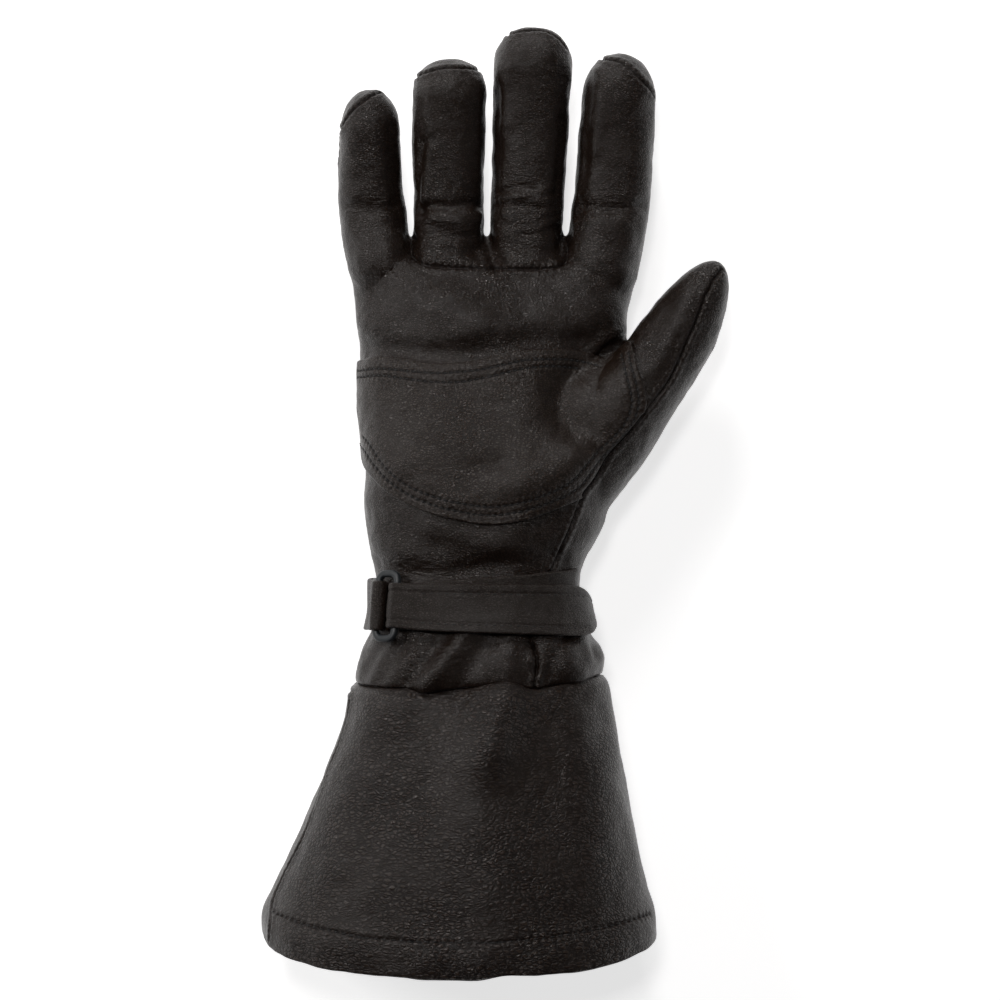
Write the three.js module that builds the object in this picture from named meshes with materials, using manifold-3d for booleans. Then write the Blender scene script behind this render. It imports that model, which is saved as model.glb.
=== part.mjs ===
// A leather gauntlet glove for the right hand, lying on its back with the palm up.
// It is cut and sewn like a gunn-cut work glove: one palm panel with the fronts of the first and
// little fingers, one front for the two middle fingers, a thumb front, and a back panel that
// wraps round the thumb. A patch lies over the palm, a strap with a loop draws in the wrist,
// and a flared cuff of two panels is sewn on below. Every panel is a hollow leather wall.
// Millimetres, +Z up from the palm side, +Y towards the fingertips, +X towards the thumb.

import * as THREE from 'three';
import { mergeVertices } from 'three/addons/utils/BufferGeometryUtils.js';
import Module from 'manifold-3d';

// Leather and seams
const LEATHER = 1.6;
const CUFF_LEATHER = 1.8;
const HEM_FOLD = 1.3;
const SEAM_GAP = 0.35;
const CLEARANCE = 0.3;

// Hand, measured over the leather
const HAND_LENGTH = 162;
const PALM_WIDTH = 105;
const PALM_DEPTH = 50;
const WRIST_WIDTH = 77;
const WRIST_DEPTH = 44;

// Cuff
const CUFF_LENGTH = 90;
const CUFF_MOUTH_WIDTH = 146;
const CUFF_MOUTH_DEPTH = 74;
const CUFF_HEM_SAG = 10;
const HEM_WIDTH = 14;

// Thumb
const THUMB_LENGTH = 98.5;
const THUMB_WIDTH = 29;
const THUMB_DEPTH = 29;
const THUMB_LEAN = 34;

// Fingers, as the middle one measures; the others are shares of it
const FINGER_LENGTH = 88.8;
const FINGER_WIDTH = 28.6;
const FINGER_DEPTH = 28;

// Palm patch
const PATCH_LEATHER = 1.3;

// Wrist strap, its loop and the tab that holds the loop. The loop is as wide as the two folds and
// the slot between them need, and as long as the wider strip with its play.
const STRAP_LEATHER = 1.8;
const STRAP_WIDTH = 18;
const TAB_LEATHER = 1.4;
const TAB_WIDTH = 18.2;
const LOOP_BAR = 2.3;
const LOOP_SLOT = 2.4;
const LOOP_PLAY = 1.6;
const LOOP_WIDTH = 2 * LOOP_BAR + 2 * CLEARANCE + STRAP_LEATHER + TAB_LEATHER + LOOP_SLOT;
const LOOP_LENGTH = Math.max(STRAP_WIDTH, TAB_WIDTH) + 2 * LOOP_BAR + 2 * LOOP_PLAY;
const LOOP_CORNER = LOOP_PLAY + LOOP_BAR / 2;
const LOOP_LIFT = CLEARANCE + STRAP_LEATHER + CLEARANCE + LOOP_BAR / 2;

// How the sections are drawn
const ROUNDNESS = 0.84;
const SEAM_HEIGHT = 0.46;
const HAND_SIDES = 32;
const FINGER_SIDES = 16;
const CUFF_SIDES = 36;

// Hand sections from the wrist seam to the finger roots. along is a share of HAND_LENGTH; left,
// right, low and high are shares of the width and depth of the wrist or the palm.
const wrist = { width: WRIST_WIDTH, depth: WRIST_DEPTH };
const palm = { width: PALM_WIDTH, depth: PALM_DEPTH };
const HAND_SECTIONS = [
  { along: 0.000, of: wrist, left: -0.650, right: 0.505, low: 0.09, high: 1.20 },
  { along: 0.012, of: wrist, left: -0.668, right: 0.520, low: 0.06, high: 1.28 },
  { along: 0.035, of: wrist, left: -0.676, right: 0.528, low: 0.05, high: 1.33 },
  { along: 0.075, of: wrist, left: -0.658, right: 0.515, low: 0.06, high: 1.29 },
  { along: 0.125, of: wrist, left: -0.586, right: 0.424, low: 0.10, high: 1.19 },
  { along: 0.185, of: wrist, left: -0.572, right: 0.404, low: 0.13, high: 1.12 },
  { along: 0.245, of: wrist, left: -0.574, right: 0.392, low: 0.12, high: 1.10 },
  { along: 0.295, of: wrist, left: -0.594, right: 0.412, low: 0.08, high: 1.13 },
  { along: 0.360, of: palm, left: -0.457, right: 0.357, low: 0.01, high: 1.02 },
  { along: 0.430, of: palm, left: -0.465, right: 0.410, low: -0.05, high: 1.04 },
  { along: 0.505, of: palm, left: -0.458, right: 0.450, low: -0.08, high: 1.03 },
  { along: 0.590, of: palm, left: -0.474, right: 0.466, low: -0.09, high: 1.00 },
  { along: 0.675, of: palm, left: -0.479, right: 0.468, low: -0.09, high: 0.94 },
  { along: 0.760, of: palm, left: -0.480, right: 0.457, low: -0.09, high: 0.87 },
  { along: 0.845, of: palm, left: -0.495, right: 0.460, low: -0.08, high: 0.82 },
  { along: 0.930, of: palm, left: -0.512, right: 0.490, low: -0.05, high: 0.71 },
  { along: 0.990, of: palm, left: -0.520, right: 0.500, low: 0.04, high: 0.54 },
  { along: 1.025, of: palm, left: -0.490, right: 0.470, low: 0.14, high: 0.42 },
];

// Dents pressed into the palm side. The ends are places on the hand, x as a share of PALM_WIDTH
// and along of HAND_LENGTH; depth is a share of PALM_DEPTH and reach a share of PALM_WIDTH.
const DENTS = [
  { x0: -0.40, along0: 0.765, x1: 0.24, along1: 0.785, depth: 0.060, reach: 0.060 },
  { x0: 0.33, along0: 0.730, x1: 0.21, along1: 0.560, depth: 0.110, reach: 0.070 },
  { x0: -0.18, along0: 0.600, x1: 0.05, along1: 0.560, depth: 0.050, reach: 0.200 },
  { x0: 0.14, along0: 0.090, x1: 0.13, along1: 0.000, depth: 0.070, reach: 0.030 },
  { x0: -0.30, along0: 0.110, x1: -0.36, along1: 0.000, depth: 0.050, reach: 0.035 },
];

// Fingers. rootX is a share of PALM_WIDTH, and lean is in degrees to the thumb side. length and
// curl, the lift of the tip, are shares of FINGER_LENGTH; width, tip, the length over which the end
// closes, and bow, which pushes the middle of the finger sideways, are shares of FINGER_WIDTH; depth
// is a share of FINGER_DEPTH.
const FINGERS = [
  { name: 'little', rootX: -0.405, lean: -3.2, length: 0.743, width: 0.839, depth: 0.893, tip: 0.594, bow: -0.171, curl: 0.135 },
  { name: 'ring', rootX: -0.171, lean: 0.9, length: 0.867, width: 0.951, depth: 0.964, tip: 0.402, bow: -0.014, curl: 0.169 },
  { name: 'middle', rootX: 0.098, lean: 2.0, length: 1.000, width: 1.000, depth: 1.000, tip: 0.490, bow: 0.000, curl: 0.203 },
  { name: 'index', rootX: 0.362, lean: 4.6, length: 0.895, width: 1.021, depth: 0.964, tip: 0.559, bow: 0.119, curl: 0.158 },
];

// Where the fingers grow out of the hand: along as a share of HAND_LENGTH, height, and the stretch
// buried in the hand, as shares of PALM_DEPTH. The buried end is drawn in to ROOT_BURIED.
const ROOT_ALONG = 0.945;
const ROOT_HEIGHT = 0.35;
const ROOT_OVERLAP = 0.20;
const ROOT_BURIED = 0.75;

// The thumb: rootX, rootAlong and height as above, tip and curl as shares of THUMB_LENGTH, bow of
// THUMB_WIDTH.
const THUMB_ROOT = { rootX: 0.249, rootAlong: 0.458, height: 0.50, tip: 0.345, bow: 0.172, curl: 0.142 };

// Finger sections up to where the tip begins to close, as shares of the straight part, the width
// and the depth. The thumb has its own, wide where it grows out of the palm.
const FINGER_SECTIONS = [
  { along: 0.00, wide: 0.93, deep: 1.06 },
  { along: 0.18, wide: 1.00, deep: 1.08 },
  { along: 0.36, wide: 0.99, deep: 1.00 },
  { along: 0.52, wide: 0.97, deep: 0.98 },
  { along: 0.76, wide: 0.98, deep: 0.94 },
  { along: 1.00, wide: 1.00, deep: 0.88 },
];
const THUMB_SECTIONS = [
  { along: 0.00, wide: 1.22, deep: 1.12 },
  { along: 0.17, wide: 1.17, deep: 1.24 },
  { along: 0.38, wide: 1.13, deep: 1.22 },
  { along: 0.58, wide: 1.05, deep: 1.14 },
  { along: 0.80, wide: 1.02, deep: 1.05 },
  { along: 1.00, wide: 0.96, deep: 0.96 },
];
const TIP_STEPS = [0.38, 0.70, 0.92];
const TIP_POWER = 2.1;
const THUMB_TIP_POWER = 1.5;

// How far short of a fingertip the seam comes over it, as a share of FINGER_WIDTH.
const TIP_SEAM = 0.125;

// The thumb-side seam. On the hand its places are shares as above; on the thumb along is a share
// of THUMB_LENGTH and side a share of THUMB_WIDTH.
const SEAM_ON_HAND = [
  { x: 0.123, along: -0.040 },
  { x: 0.139, along: 0.124 },
  { x: 0.176, along: 0.194 },
  { x: 0.205, along: 0.264 },
  { x: 0.219, along: 0.320 },
  { x: 0.249, along: 0.361 },
  { x: 0.272, along: 0.399 },
];
const SEAM_ON_THUMB = [
  { along: 0.008, side: 0.201 },
  { along: 0.079, side: 0.215 },
  { along: 0.176, side: 0.205 },
  { along: 0.279, side: 0.250 },
  { along: 0.370, side: 0.271 },
  { along: 0.449, side: 0.290 },
  { along: 0.536, side: 0.290 },
  { along: 0.612, side: 0.256 },
  { along: 0.696, side: 0.196 },
  { along: 0.811, side: 0.093 },
  { along: 0.890, side: 0.027 },
  { along: 0.965, side: -0.010 },
];
const THUMB_FRONT_START = 0.36;
const WEB = { along: 0.580, side: -0.530 };
const WEB_GAP = [
  { along: 0.681, side: -0.512 },
  { along: 0.772, side: -0.537 },
  { along: 0.892, side: -0.530 },
];

// Patch edge. The rows on the hand run from the little-finger edge along the top to the thumb,
// and back along the bottom.
const PATCH_TOP = [
  { x: -0.640, along: 0.752 },
  { x: -0.480, along: 0.747 },
  { x: -0.408, along: 0.752 },
  { x: -0.316, along: 0.745 },
  { x: -0.209, along: 0.732 },
  { x: -0.077, along: 0.741 },
  { x: 0.019, along: 0.754 },
  { x: 0.120, along: 0.765 },
  { x: 0.219, along: 0.765 },
  { x: 0.305, along: 0.758 },
  { x: 0.378, along: 0.747 },
];
const PATCH_ON_THUMB = [
  { along: 0.585, side: -0.452 },
  { along: 0.549, side: -0.325 },
  { along: 0.496, side: -0.116 },
  { along: 0.455, side: 0.068 },
  { along: 0.412, side: 0.175 },
  { along: 0.366, side: 0.235 },
  { along: 0.279, side: 0.215 },
  { along: 0.176, side: 0.165 },
  { along: 0.079, side: 0.178 },
];
const PATCH_BOTTOM = [
  { x: 0.285, along: 0.434 },
  { x: 0.251, along: 0.422 },
  { x: 0.184, along: 0.404 },
  { x: 0.088, along: 0.384 },
  { x: -0.018, along: 0.375 },
  { x: -0.143, along: 0.386 },
  { x: -0.235, along: 0.401 },
  { x: -0.315, along: 0.428 },
  { x: -0.373, along: 0.446 },
  { x: -0.455, along: 0.503 },
  { x: -0.490, along: 0.536 },
  { x: -0.640, along: 0.545 },
];

// Cuff sections below the wrist seam, as shares of the cuff's length, mouth width and mouth depth.
// sag is how far the ring drops at front and back, as a share of the hem's sag.
const CUFF_SECTIONS = [
  { along: 0.030, left: -0.372, right: 0.284, low: 0.02, high: 0.80, sag: 0.15 },
  { along: 0.125, left: -0.388, right: 0.301, low: 0.00, high: 0.83, sag: 0.22 },
  { along: 0.290, left: -0.419, right: 0.318, low: -0.04, high: 0.86, sag: 0.38 },
  { along: 0.455, left: -0.461, right: 0.334, low: -0.07, high: 0.90, sag: 0.54 },
  { along: 0.620, left: -0.507, right: 0.353, low: -0.08, high: 0.94, sag: 0.70 },
  { along: 0.800, left: -0.560, right: 0.376, low: -0.08, high: 0.98, sag: 0.86 },
  { along: 0.930, left: -0.590, right: 0.400, low: -0.08, high: 1.01, sag: 0.96 },
  { along: 1.000, left: -0.588, right: 0.402, low: -0.07, high: 1.01, sag: 1.00 },
];

// Where the strap lies. Places round the wrist are shares of the way over the palm side, from its
// left edge at 0 to its right edge at 1; wide is a share of the strap's width. Both strips start
// against the leather, turn round a bar of the loop and come back on top.
const LOOP_ALONG = 0.188;
const LOOP_PLACE = 0.225;
const FOLD_STEPS = 7;
const FOLD_START = -90;
const FOLD_END = 120;
const STRAP = {
  side: 1, leather: STRAP_LEATHER, width: STRAP_WIDTH, underAlong: 0.216, overAlong: 0.190,
  under: [
    { place: 0.865, wide: 1.00 },
    { place: 0.780, wide: 1.00 },
    { place: 0.690, wide: 1.00 },
    { place: 0.600, wide: 0.99 },
    { place: 0.510, wide: 0.98 },
    { place: 0.420, wide: 0.96 },
    { place: 0.325, wide: 0.93 },
  ],
  over: [
    { place: 0.325, wide: 0.92 },
    { place: 0.420, wide: 0.96 },
    { place: 0.510, wide: 0.98 },
    { place: 0.600, wide: 1.00 },
    { place: 0.690, wide: 1.02 },
    { place: 0.780, wide: 1.04 },
    { place: 0.860, wide: 1.06 },
    { place: 0.925, wide: 1.07 },
    { place: 0.962, wide: 1.01 },
    { place: 0.982, wide: 0.90 },
    { place: 0.998, wide: 0.74 },
    { place: 1.010, wide: 0.50 },
  ],
};
const TAB = {
  side: -1, leather: TAB_LEATHER, width: TAB_WIDTH, underAlong: 0.188, overAlong: 0.188,
  under: [
    { place: -0.120, wide: 1.04 },
    { place: -0.050, wide: 1.04 },
    { place: 0.000, wide: 1.03 },
    { place: 0.050, wide: 1.02 },
    { place: 0.125, wide: 1.00 },
  ],
  over: [
    { place: 0.090, wide: 1.00 },
    { place: 0.045, wide: 1.02 },
    { place: 0.000, wide: 1.03 },
    { place: -0.050, wide: 1.04 },
    { place: -0.150, wide: 1.04 },
  ],
};

// The fingers and the thumb at their sizes.
const fingers = FINGERS.map((row) => ({
  name: row.name,
  rootX: row.rootX,
  rootAlong: ROOT_ALONG,
  lean: row.lean,
  length: row.length * FINGER_LENGTH,
  width: row.width * FINGER_WIDTH,
  depth: row.depth * FINGER_DEPTH,
  tip: row.tip * FINGER_WIDTH,
  bow: row.bow * FINGER_WIDTH,
  curl: row.curl * FINGER_LENGTH,
  height: ROOT_HEIGHT * PALM_DEPTH,
  sections: FINGER_SECTIONS,
  tipPower: TIP_POWER,
}));
const thumb = {
  name: 'thumb',
  rootX: THUMB_ROOT.rootX,
  rootAlong: THUMB_ROOT.rootAlong,
  lean: THUMB_LEAN,
  length: THUMB_LENGTH,
  width: THUMB_WIDTH,
  depth: THUMB_DEPTH,
  tip: THUMB_ROOT.tip * THUMB_LENGTH,
  bow: THUMB_ROOT.bow * THUMB_WIDTH,
  curl: THUMB_ROOT.curl * THUMB_LENGTH,
  height: THUMB_ROOT.height * PALM_DEPTH,
  sections: THUMB_SECTIONS,
  tipPower: THUMB_TIP_POWER,
};
const rootOverlap = ROOT_OVERLAP * PALM_DEPTH;
const tipSeam = TIP_SEAM * FINGER_WIDTH;

const wasm = await Module();
wasm.setup();

const radians = THREE.MathUtils.degToRad;

// Turns a closed geometry into a solid that can be joined and cut.
function solid(geometry) {
  const bare = new THREE.BufferGeometry();
  bare.setAttribute('position', geometry.getAttribute('position'));
  if (geometry.index) bare.setIndex(geometry.index);
  const merged = mergeVertices(bare, 1e-4);
  return new wasm.Manifold(new wasm.Mesh({
    numProp: 3,
    vertProperties: new Float32Array(merged.attributes.position.array),
    triVerts: new Uint32Array(merged.index.array),
  }));
}

// Turns a solid back into a geometry with flat facets.
function geometryOf(cut) {
  const mesh = cut.getMesh();
  const geometry = new THREE.BufferGeometry();
  geometry.setAttribute('position', new THREE.Float32BufferAttribute(mesh.vertProperties, 3));
  geometry.setIndex(new THREE.Uint32BufferAttribute(mesh.triVerts, 1));
  const flat = geometry.toNonIndexed();
  flat.computeVertexNormals();
  return flat;
}

function joined(solids) {
  return solids.reduce((all, next) => all.add(next));
}

// Skins a row of rings, each a list of points. With closed true the last ring meets the first, as
// on a wall that turns over at both edges; otherwise the end rings are capped.
function loft(rings, closed = false) {
  const sides = rings[0].length;
  const points = rings.flat();
  const faces = [];
  const bands = closed ? rings.length : rings.length - 1;
  for (let band = 0; band < bands; band++) {
    const here = band * sides;
    const next = ((band + 1) % rings.length) * sides;
    for (let side = 0; side < sides; side++) {
      const after = (side + 1) % sides;
      faces.push(here + side, next + side, next + after);
      faces.push(here + side, next + after, here + after);
    }
  }
  if (!closed) {
    for (const end of [0, rings.length - 1]) {
      const middle = new THREE.Vector3();
      rings[end].forEach((point) => middle.addScaledVector(point, 1 / sides));
      const centre = points.push(middle) - 1;
      for (let side = 0; side < sides; side++) {
        const corner = end * sides + side;
        const after = end * sides + (side + 1) % sides;
        if (end === 0) faces.push(centre, corner, after);
        else faces.push(centre, after, corner);
      }
    }
  }
  const geometry = new THREE.BufferGeometry().setFromPoints(points);
  geometry.setIndex(faces);
  if (signedVolume(geometry) < 0) {
    for (let i = 0; i < faces.length; i += 3) [faces[i + 1], faces[i + 2]] = [faces[i + 2], faces[i + 1]];
    geometry.setIndex(faces);
  }
  geometry.computeVertexNormals();
  return geometry;
}

function signedVolume(geometry) {
  const place = geometry.attributes.position;
  const index = geometry.index.array;
  const corner = [0, 1, 2].map(() => new THREE.Vector3());
  let volume = 0;
  for (let i = 0; i < index.length; i += 3) {
    corner.forEach((point, k) => point.fromBufferAttribute(place, index[i + k]));
    volume += corner[0].dot(corner[1].clone().cross(corner[2])) / 6;
  }
  return volume;
}

function signedPower(value, power) {
  return Math.sign(value) * Math.abs(value) ** power;
}

// A place on the hand from shares of its width and length.
function onHand({ x, along }) {
  return new THREE.Vector2(x * PALM_WIDTH, along * HAND_LENGTH);
}

// A place on the thumb from shares of its length and width.
function onThumb({ along, side }) {
  const lean = radians(THUMB_LEAN);
  const root = onHand({ x: thumb.rootX, along: thumb.rootAlong });
  const forward = new THREE.Vector2(Math.sin(lean), Math.cos(lean));
  const right = new THREE.Vector2(Math.cos(lean), -Math.sin(lean));
  return root.addScaledVector(forward, along * THUMB_LENGTH).addScaledVector(right, side * THUMB_WIDTH);
}

// The hand section at a height, blended between two rows of the table.
function handSection(y) {
  const sizes = HAND_SECTIONS.map((row) => ({
    y: row.along * HAND_LENGTH,
    left: row.left * row.of.width,
    right: row.right * row.of.width,
    low: row.low * row.of.depth,
    high: row.high * row.of.depth,
  }));
  const last = sizes.length - 1;
  const above = Math.min(Math.max(sizes.findIndex((row) => row.y >= y), 1), last);
  const a = sizes[above - 1];
  const b = sizes[above];
  const share = THREE.MathUtils.clamp((y - a.y) / (b.y - a.y), 0, 1);
  const section = { y };
  for (const edge of ['left', 'right', 'low', 'high']) {
    section[edge] = THREE.MathUtils.lerp(a[edge], b[edge], share);
  }
  return section;
}

function seamHeight(section) {
  return THREE.MathUtils.lerp(section.low, section.high, SEAM_HEIGHT);
}

// How far the palm side is pressed in at a place.
function dentDepth(x, y) {
  let depth = 0;
  for (const dent of DENTS) {
    const from = onHand({ x: dent.x0, along: dent.along0 });
    const to = onHand({ x: dent.x1, along: dent.along1 });
    const near = new THREE.Line3(new THREE.Vector3(from.x, from.y, 0), new THREE.Vector3(to.x, to.y, 0))
      .closestPointToPoint(new THREE.Vector3(x, y, 0), true, new THREE.Vector3());
    const away = Math.hypot(near.x - x, near.y - y) / (dent.reach * PALM_WIDTH);
    depth += dent.depth * PALM_DEPTH * Math.exp(-away * away);
  }
  return depth;
}

// One point of a flattened oval section, grown outwards by grow. Nothing goes below the floor.
function sectionPoint(section, angle, grow) {
  const middle = seamHeight(section);
  const half = (section.right - section.left) / 2 + grow;
  const rise = Math.sin(angle);
  const reach = (rise > 0 ? section.high - middle : middle - section.low) + grow;
  const x = (section.left + section.right) / 2 + half * signedPower(Math.cos(angle), ROUNDNESS);
  const z = middle + reach * signedPower(rise, ROUNDNESS);
  return new THREE.Vector3(x, section.y, Math.max(z, -grow));
}

function ring(sides, point) {
  return Array.from({ length: sides }, (_, side) => point(2 * Math.PI * side / sides));
}

function handRing(y, grow, dented = true) {
  const section = handSection(y);
  return ring(HAND_SIDES, (angle) => {
    const point = sectionPoint(section, angle, grow);
    if (dented) point.z -= dentDepth(point.x, point.y) * Math.max(Math.sin(angle), 0);
    return point;
  });
}

// The body of the hand as a filled form. Inside forms run on past the wrist seam to open it.
function handForm(grow) {
  const rows = HAND_SECTIONS.map((row) => row.along * HAND_LENGTH);
  const rings = rows.map((y) => handRing(y, grow));
  if (grow < 0) {
    rings.pop();
    const opened = rings[0].map((point) => point.clone().setY(-CLEARANCE - LEATHER));
    rings.unshift(opened);
  }
  return solid(loft(rings));
}

// A finger's middle line, as a curve that bows sideways and curls up.
function fingerLine(finger) {
  const root = onHand({ x: finger.rootX, along: finger.rootAlong });
  const lean = radians(finger.lean);
  const at = (along, side, z) => new THREE.Vector3(
    root.x + Math.sin(lean) * along + Math.cos(lean) * side,
    root.y + Math.cos(lean) * along - Math.sin(lean) * side,
    z,
  );
  return new THREE.QuadraticBezierCurve3(
    at(0, 0, finger.height),
    at(finger.length * 0.55, finger.bow, finger.height),
    at(finger.length, 0, finger.height + finger.curl),
  );
}

// A finger as a filled form, grown outwards by grow, with a rounded tip.
function fingerForm(finger, grow) {
  const line = fingerLine(finger);
  const straight = (finger.length - finger.tip) / finger.length;
  const end = finger.tip + grow;
  const stations = finger.sections.map((row) => ({ u: row.along * straight, wide: row.wide, deep: row.deep, close: 1 }));
  const { wide, deep } = finger.sections.at(-1);
  for (const step of TIP_STEPS) {
    const u = straight + step * end / finger.length;
    stations.push({ u, wide, deep, close: Math.sqrt(1 - step ** finger.tipPower) });
  }
  const rings = stations.map((station) => {
    const centre = line.getPoint(station.u);
    const forward = line.getTangent(station.u);
    const across = forward.clone().cross(new THREE.Vector3(0, 0, 1)).normalize();
    const up = across.clone().cross(forward);
    const halfWidth = (finger.width / 2 * station.wide + grow) * station.close;
    const halfDepth = (finger.depth / 2 * station.deep + grow) * station.close;
    return ring(FINGER_SIDES, (angle) => {
      const point = centre.clone()
        .addScaledVector(across, halfWidth * signedPower(Math.cos(angle), ROUNDNESS))
        .addScaledVector(up, halfDepth * signedPower(Math.sin(angle), ROUNDNESS));
      point.z = Math.max(point.z, -grow);
      return point;
    });
  });
  const tangent = line.getTangent(straight);
  const root = line.getPoint(0);
  rings.unshift(rings[0].map((point) => point.clone().lerp(root, 1 - ROOT_BURIED)
    .addScaledVector(line.getTangent(0), -rootOverlap)));
  const tip = line.getPoint(Math.min(straight + end / finger.length, 1))
    .addScaledVector(tangent, Math.max(straight + end / finger.length - 1, 0) * finger.length);
  rings.push(rings[0].map(() => tip.clone()));
  return solid(loft(rings));
}

// The whole filled glove, hand and fingers.
function gloveForm(grow) {
  return joined([handForm(grow), fingerForm(thumb, grow), ...fingers.map((finger) => fingerForm(finger, grow))]);
}

// An upright prism over an outline of 2-D points.
function prism(outline, low, high) {
  const shape = new THREE.Shape(outline);
  const geometry = new THREE.ExtrudeGeometry(shape, { depth: high - low, bevelEnabled: false });
  return solid(geometry.translate(0, 0, low));
}

// Moves an outline outwards by grow; outlines run anticlockwise.
function grown(outline, grow) {
  const turn = THREE.ShapeUtils.isClockWise(outline) ? -1 : 1;
  return outline.map((here, i) => {
    const before = outline.at(i - 1);
    const after = outline[(i + 1) % outline.length];
    const into = here.clone().sub(before).normalize();
    const out = after.clone().sub(here).normalize();
    const normal = new THREE.Vector2(into.y + out.y, -into.x - out.x).multiplyScalar(turn).normalize();
    const stretch = Math.max(Math.abs(normal.x * into.y - normal.y * into.x), 0.5);
    return here.clone().addScaledVector(normal, grow / stretch);
  });
}

// Higher than any part of the glove.
const SKY = 2 * CUFF_MOUTH_DEPTH;

// Everything above a seam line drawn in side view, for a slab across a finger or the hand.
function aboveSeam(line, halfWidth) {
  const outline = [...line, new THREE.Vector2(line.at(-1).x, SKY), new THREE.Vector2(line[0].x, SKY)];
  const geometry = new THREE.ExtrudeGeometry(new THREE.Shape(outline), { depth: 2 * halfWidth, bevelEnabled: false });
  const turned = new THREE.Matrix4().makeBasis(
    new THREE.Vector3(0, 1, 0), new THREE.Vector3(0, 0, 1), new THREE.Vector3(1, 0, 0));
  return geometry.translate(0, 0, -halfWidth).applyMatrix4(turned);
}

// The space above the side seam of the hand, over a stretch of it.
function aboveHandSeam(grow) {
  const past = ROOT_ALONG * HAND_LENGTH + CLEARANCE;
  const heights = HAND_SECTIONS.map((row) => row.along * HAND_LENGTH).filter((y) => y < past);
  const line = [-HAND_LENGTH, ...heights].map((y) => new THREE.Vector2(y, seamHeight(handSection(y)) - grow));
  line.push(new THREE.Vector2(HAND_LENGTH * 1.04, ROOT_HEIGHT * PALM_DEPTH - grow));
  return solid(aboveSeam(line, PALM_WIDTH));
}

// The space above a finger's side seams, which climb over its tip.
function aboveFingerSeam(finger, grow) {
  const line = fingerLine(finger);
  const straight = (finger.length - finger.tip) / finger.length;
  const points = [0, 0.25, 0.5, 0.75, 1].map((share) => {
    const place = line.getPoint(share * straight);
    const along = share * straight * finger.length;
    return new THREE.Vector2(along, place.z - grow);
  });
  points.unshift(new THREE.Vector2(-rootOverlap, points[0].y));
  const end = finger.length - tipSeam;
  const closing = 1 - tipSeam / finger.tip;
  const climb = finger.depth / 2 * Math.sqrt(1 - closing ** finger.tipPower);
  points.push(new THREE.Vector2(end + grow, line.getPoint(end / finger.length).z + climb - grow));
  const root = onHand({ x: finger.rootX, along: finger.rootAlong });
  const slab = aboveSeam(points, finger.width * 0.8).rotateZ(-radians(finger.lean));
  return solid(slab.translate(root.x, root.y, 0));
}

// Outlines of the panels on the palm side, seen from above.
const CROSS_SEAM = [
  { x: -0.310, along: 0.974 },
  { x: -0.285, along: 0.964 },
  { x: -0.238, along: 0.955 },
  { x: -0.145, along: 0.950 },
  { x: 0.020, along: 0.947 },
  { x: 0.138, along: 0.947 },
  { x: 0.193, along: 0.950 },
  { x: 0.236, along: 0.959 },
];
const LITTLE_SPLIT = [
  { x: -0.310, along: 1.6 },
];
const INDEX_SPLIT = [
  { x: 0.240, along: 1.06 },
  { x: 0.270, along: 1.27 },
  { x: 0.310, along: 1.6 },
];
const BEYOND = 1.6;

const seamLine = [...SEAM_ON_HAND.map(onHand), ...SEAM_ON_THUMB.map(onThumb)];
const thumbFrontStart = onThumb(SEAM_ON_THUMB.find((row) => row.along >= THUMB_FRONT_START));
const web = onThumb(WEB);
const betweenIndexAndThumb = WEB_GAP.map(onThumb);
const middleFrontEdge = [...LITTLE_SPLIT, ...CROSS_SEAM, ...INDEX_SPLIT].map(onHand);

function palmOutline() {
  const below = seamLine.filter((point) => point.y <= thumbFrontStart.y);
  return [
    onHand({ x: -1, along: -0.04 }),
    ...below,
    web,
    ...betweenIndexAndThumb,
    onHand({ x: 0.9, along: BEYOND }),
    ...middleFrontEdge.toReversed(),
    onHand({ x: -1, along: BEYOND }),
  ];
}

function thumbFrontOutline() {
  const above = seamLine.filter((point) => point.y >= thumbFrontStart.y);
  return [
    ...above,
    onThumb({ along: 1.10, side: 0.0 }),
    ...betweenIndexAndThumb.toReversed(),
    web,
  ];
}

function patchOutline() {
  return [
    ...PATCH_TOP.map(onHand),
    ...PATCH_ON_THUMB.map(onThumb),
    ...PATCH_BOTTOM.map(onHand),
  ].toReversed();
}

// The spaces that each front panel fills. grow is 0 for the panel itself; the back panel is cut
// with spaces grown by the seam gap.
function frontSpaces(grow) {
  const above = Object.fromEntries(fingers.map((finger) => [finger.name, aboveFingerSeam(finger, grow)]));
  const inset = grow - SEAM_GAP / 2;
  return {
    palm: joined([aboveHandSeam(grow), above.little, above.index])
      .intersect(prism(grown(palmOutline(), inset), 0, SKY)),
    middle: joined([aboveHandSeam(grow), above.ring, above.middle])
      .intersect(prism(grown(middleFrontEdge, inset), 0, SKY)),
    thumb: prism(grown(thumbFrontOutline(), inset), 0, SKY)
      .intersect(aboveFingerSeam(thumb, grow)),
  };
}

// The hand's leather wall, cut along its seams.
function handPanels() {
  const wall = gloveForm(0).subtract(gloveForm(-LEATHER));
  const fronts = frontSpaces(0);
  const cutters = frontSpaces(SEAM_GAP);
  return {
    palm: wall.intersect(fronts.palm),
    middle: wall.intersect(fronts.middle),
    thumb: wall.intersect(fronts.thumb),
    back: wall.subtract(cutters.palm).subtract(cutters.middle).subtract(cutters.thumb),
  };
}

// The reinforcement that lies over the palm and the root of the thumb.
function palmPatch() {
  const skin = (grow) => joined([handForm(grow), fingerForm(thumb, grow)]);
  const layer = skin(CLEARANCE + PATCH_LEATHER).subtract(skin(CLEARANCE));
  const side = seamHeight(handSection(0.6 * HAND_LENGTH));
  return layer.intersect(prism(patchOutline(), side, SKY));
}

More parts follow.
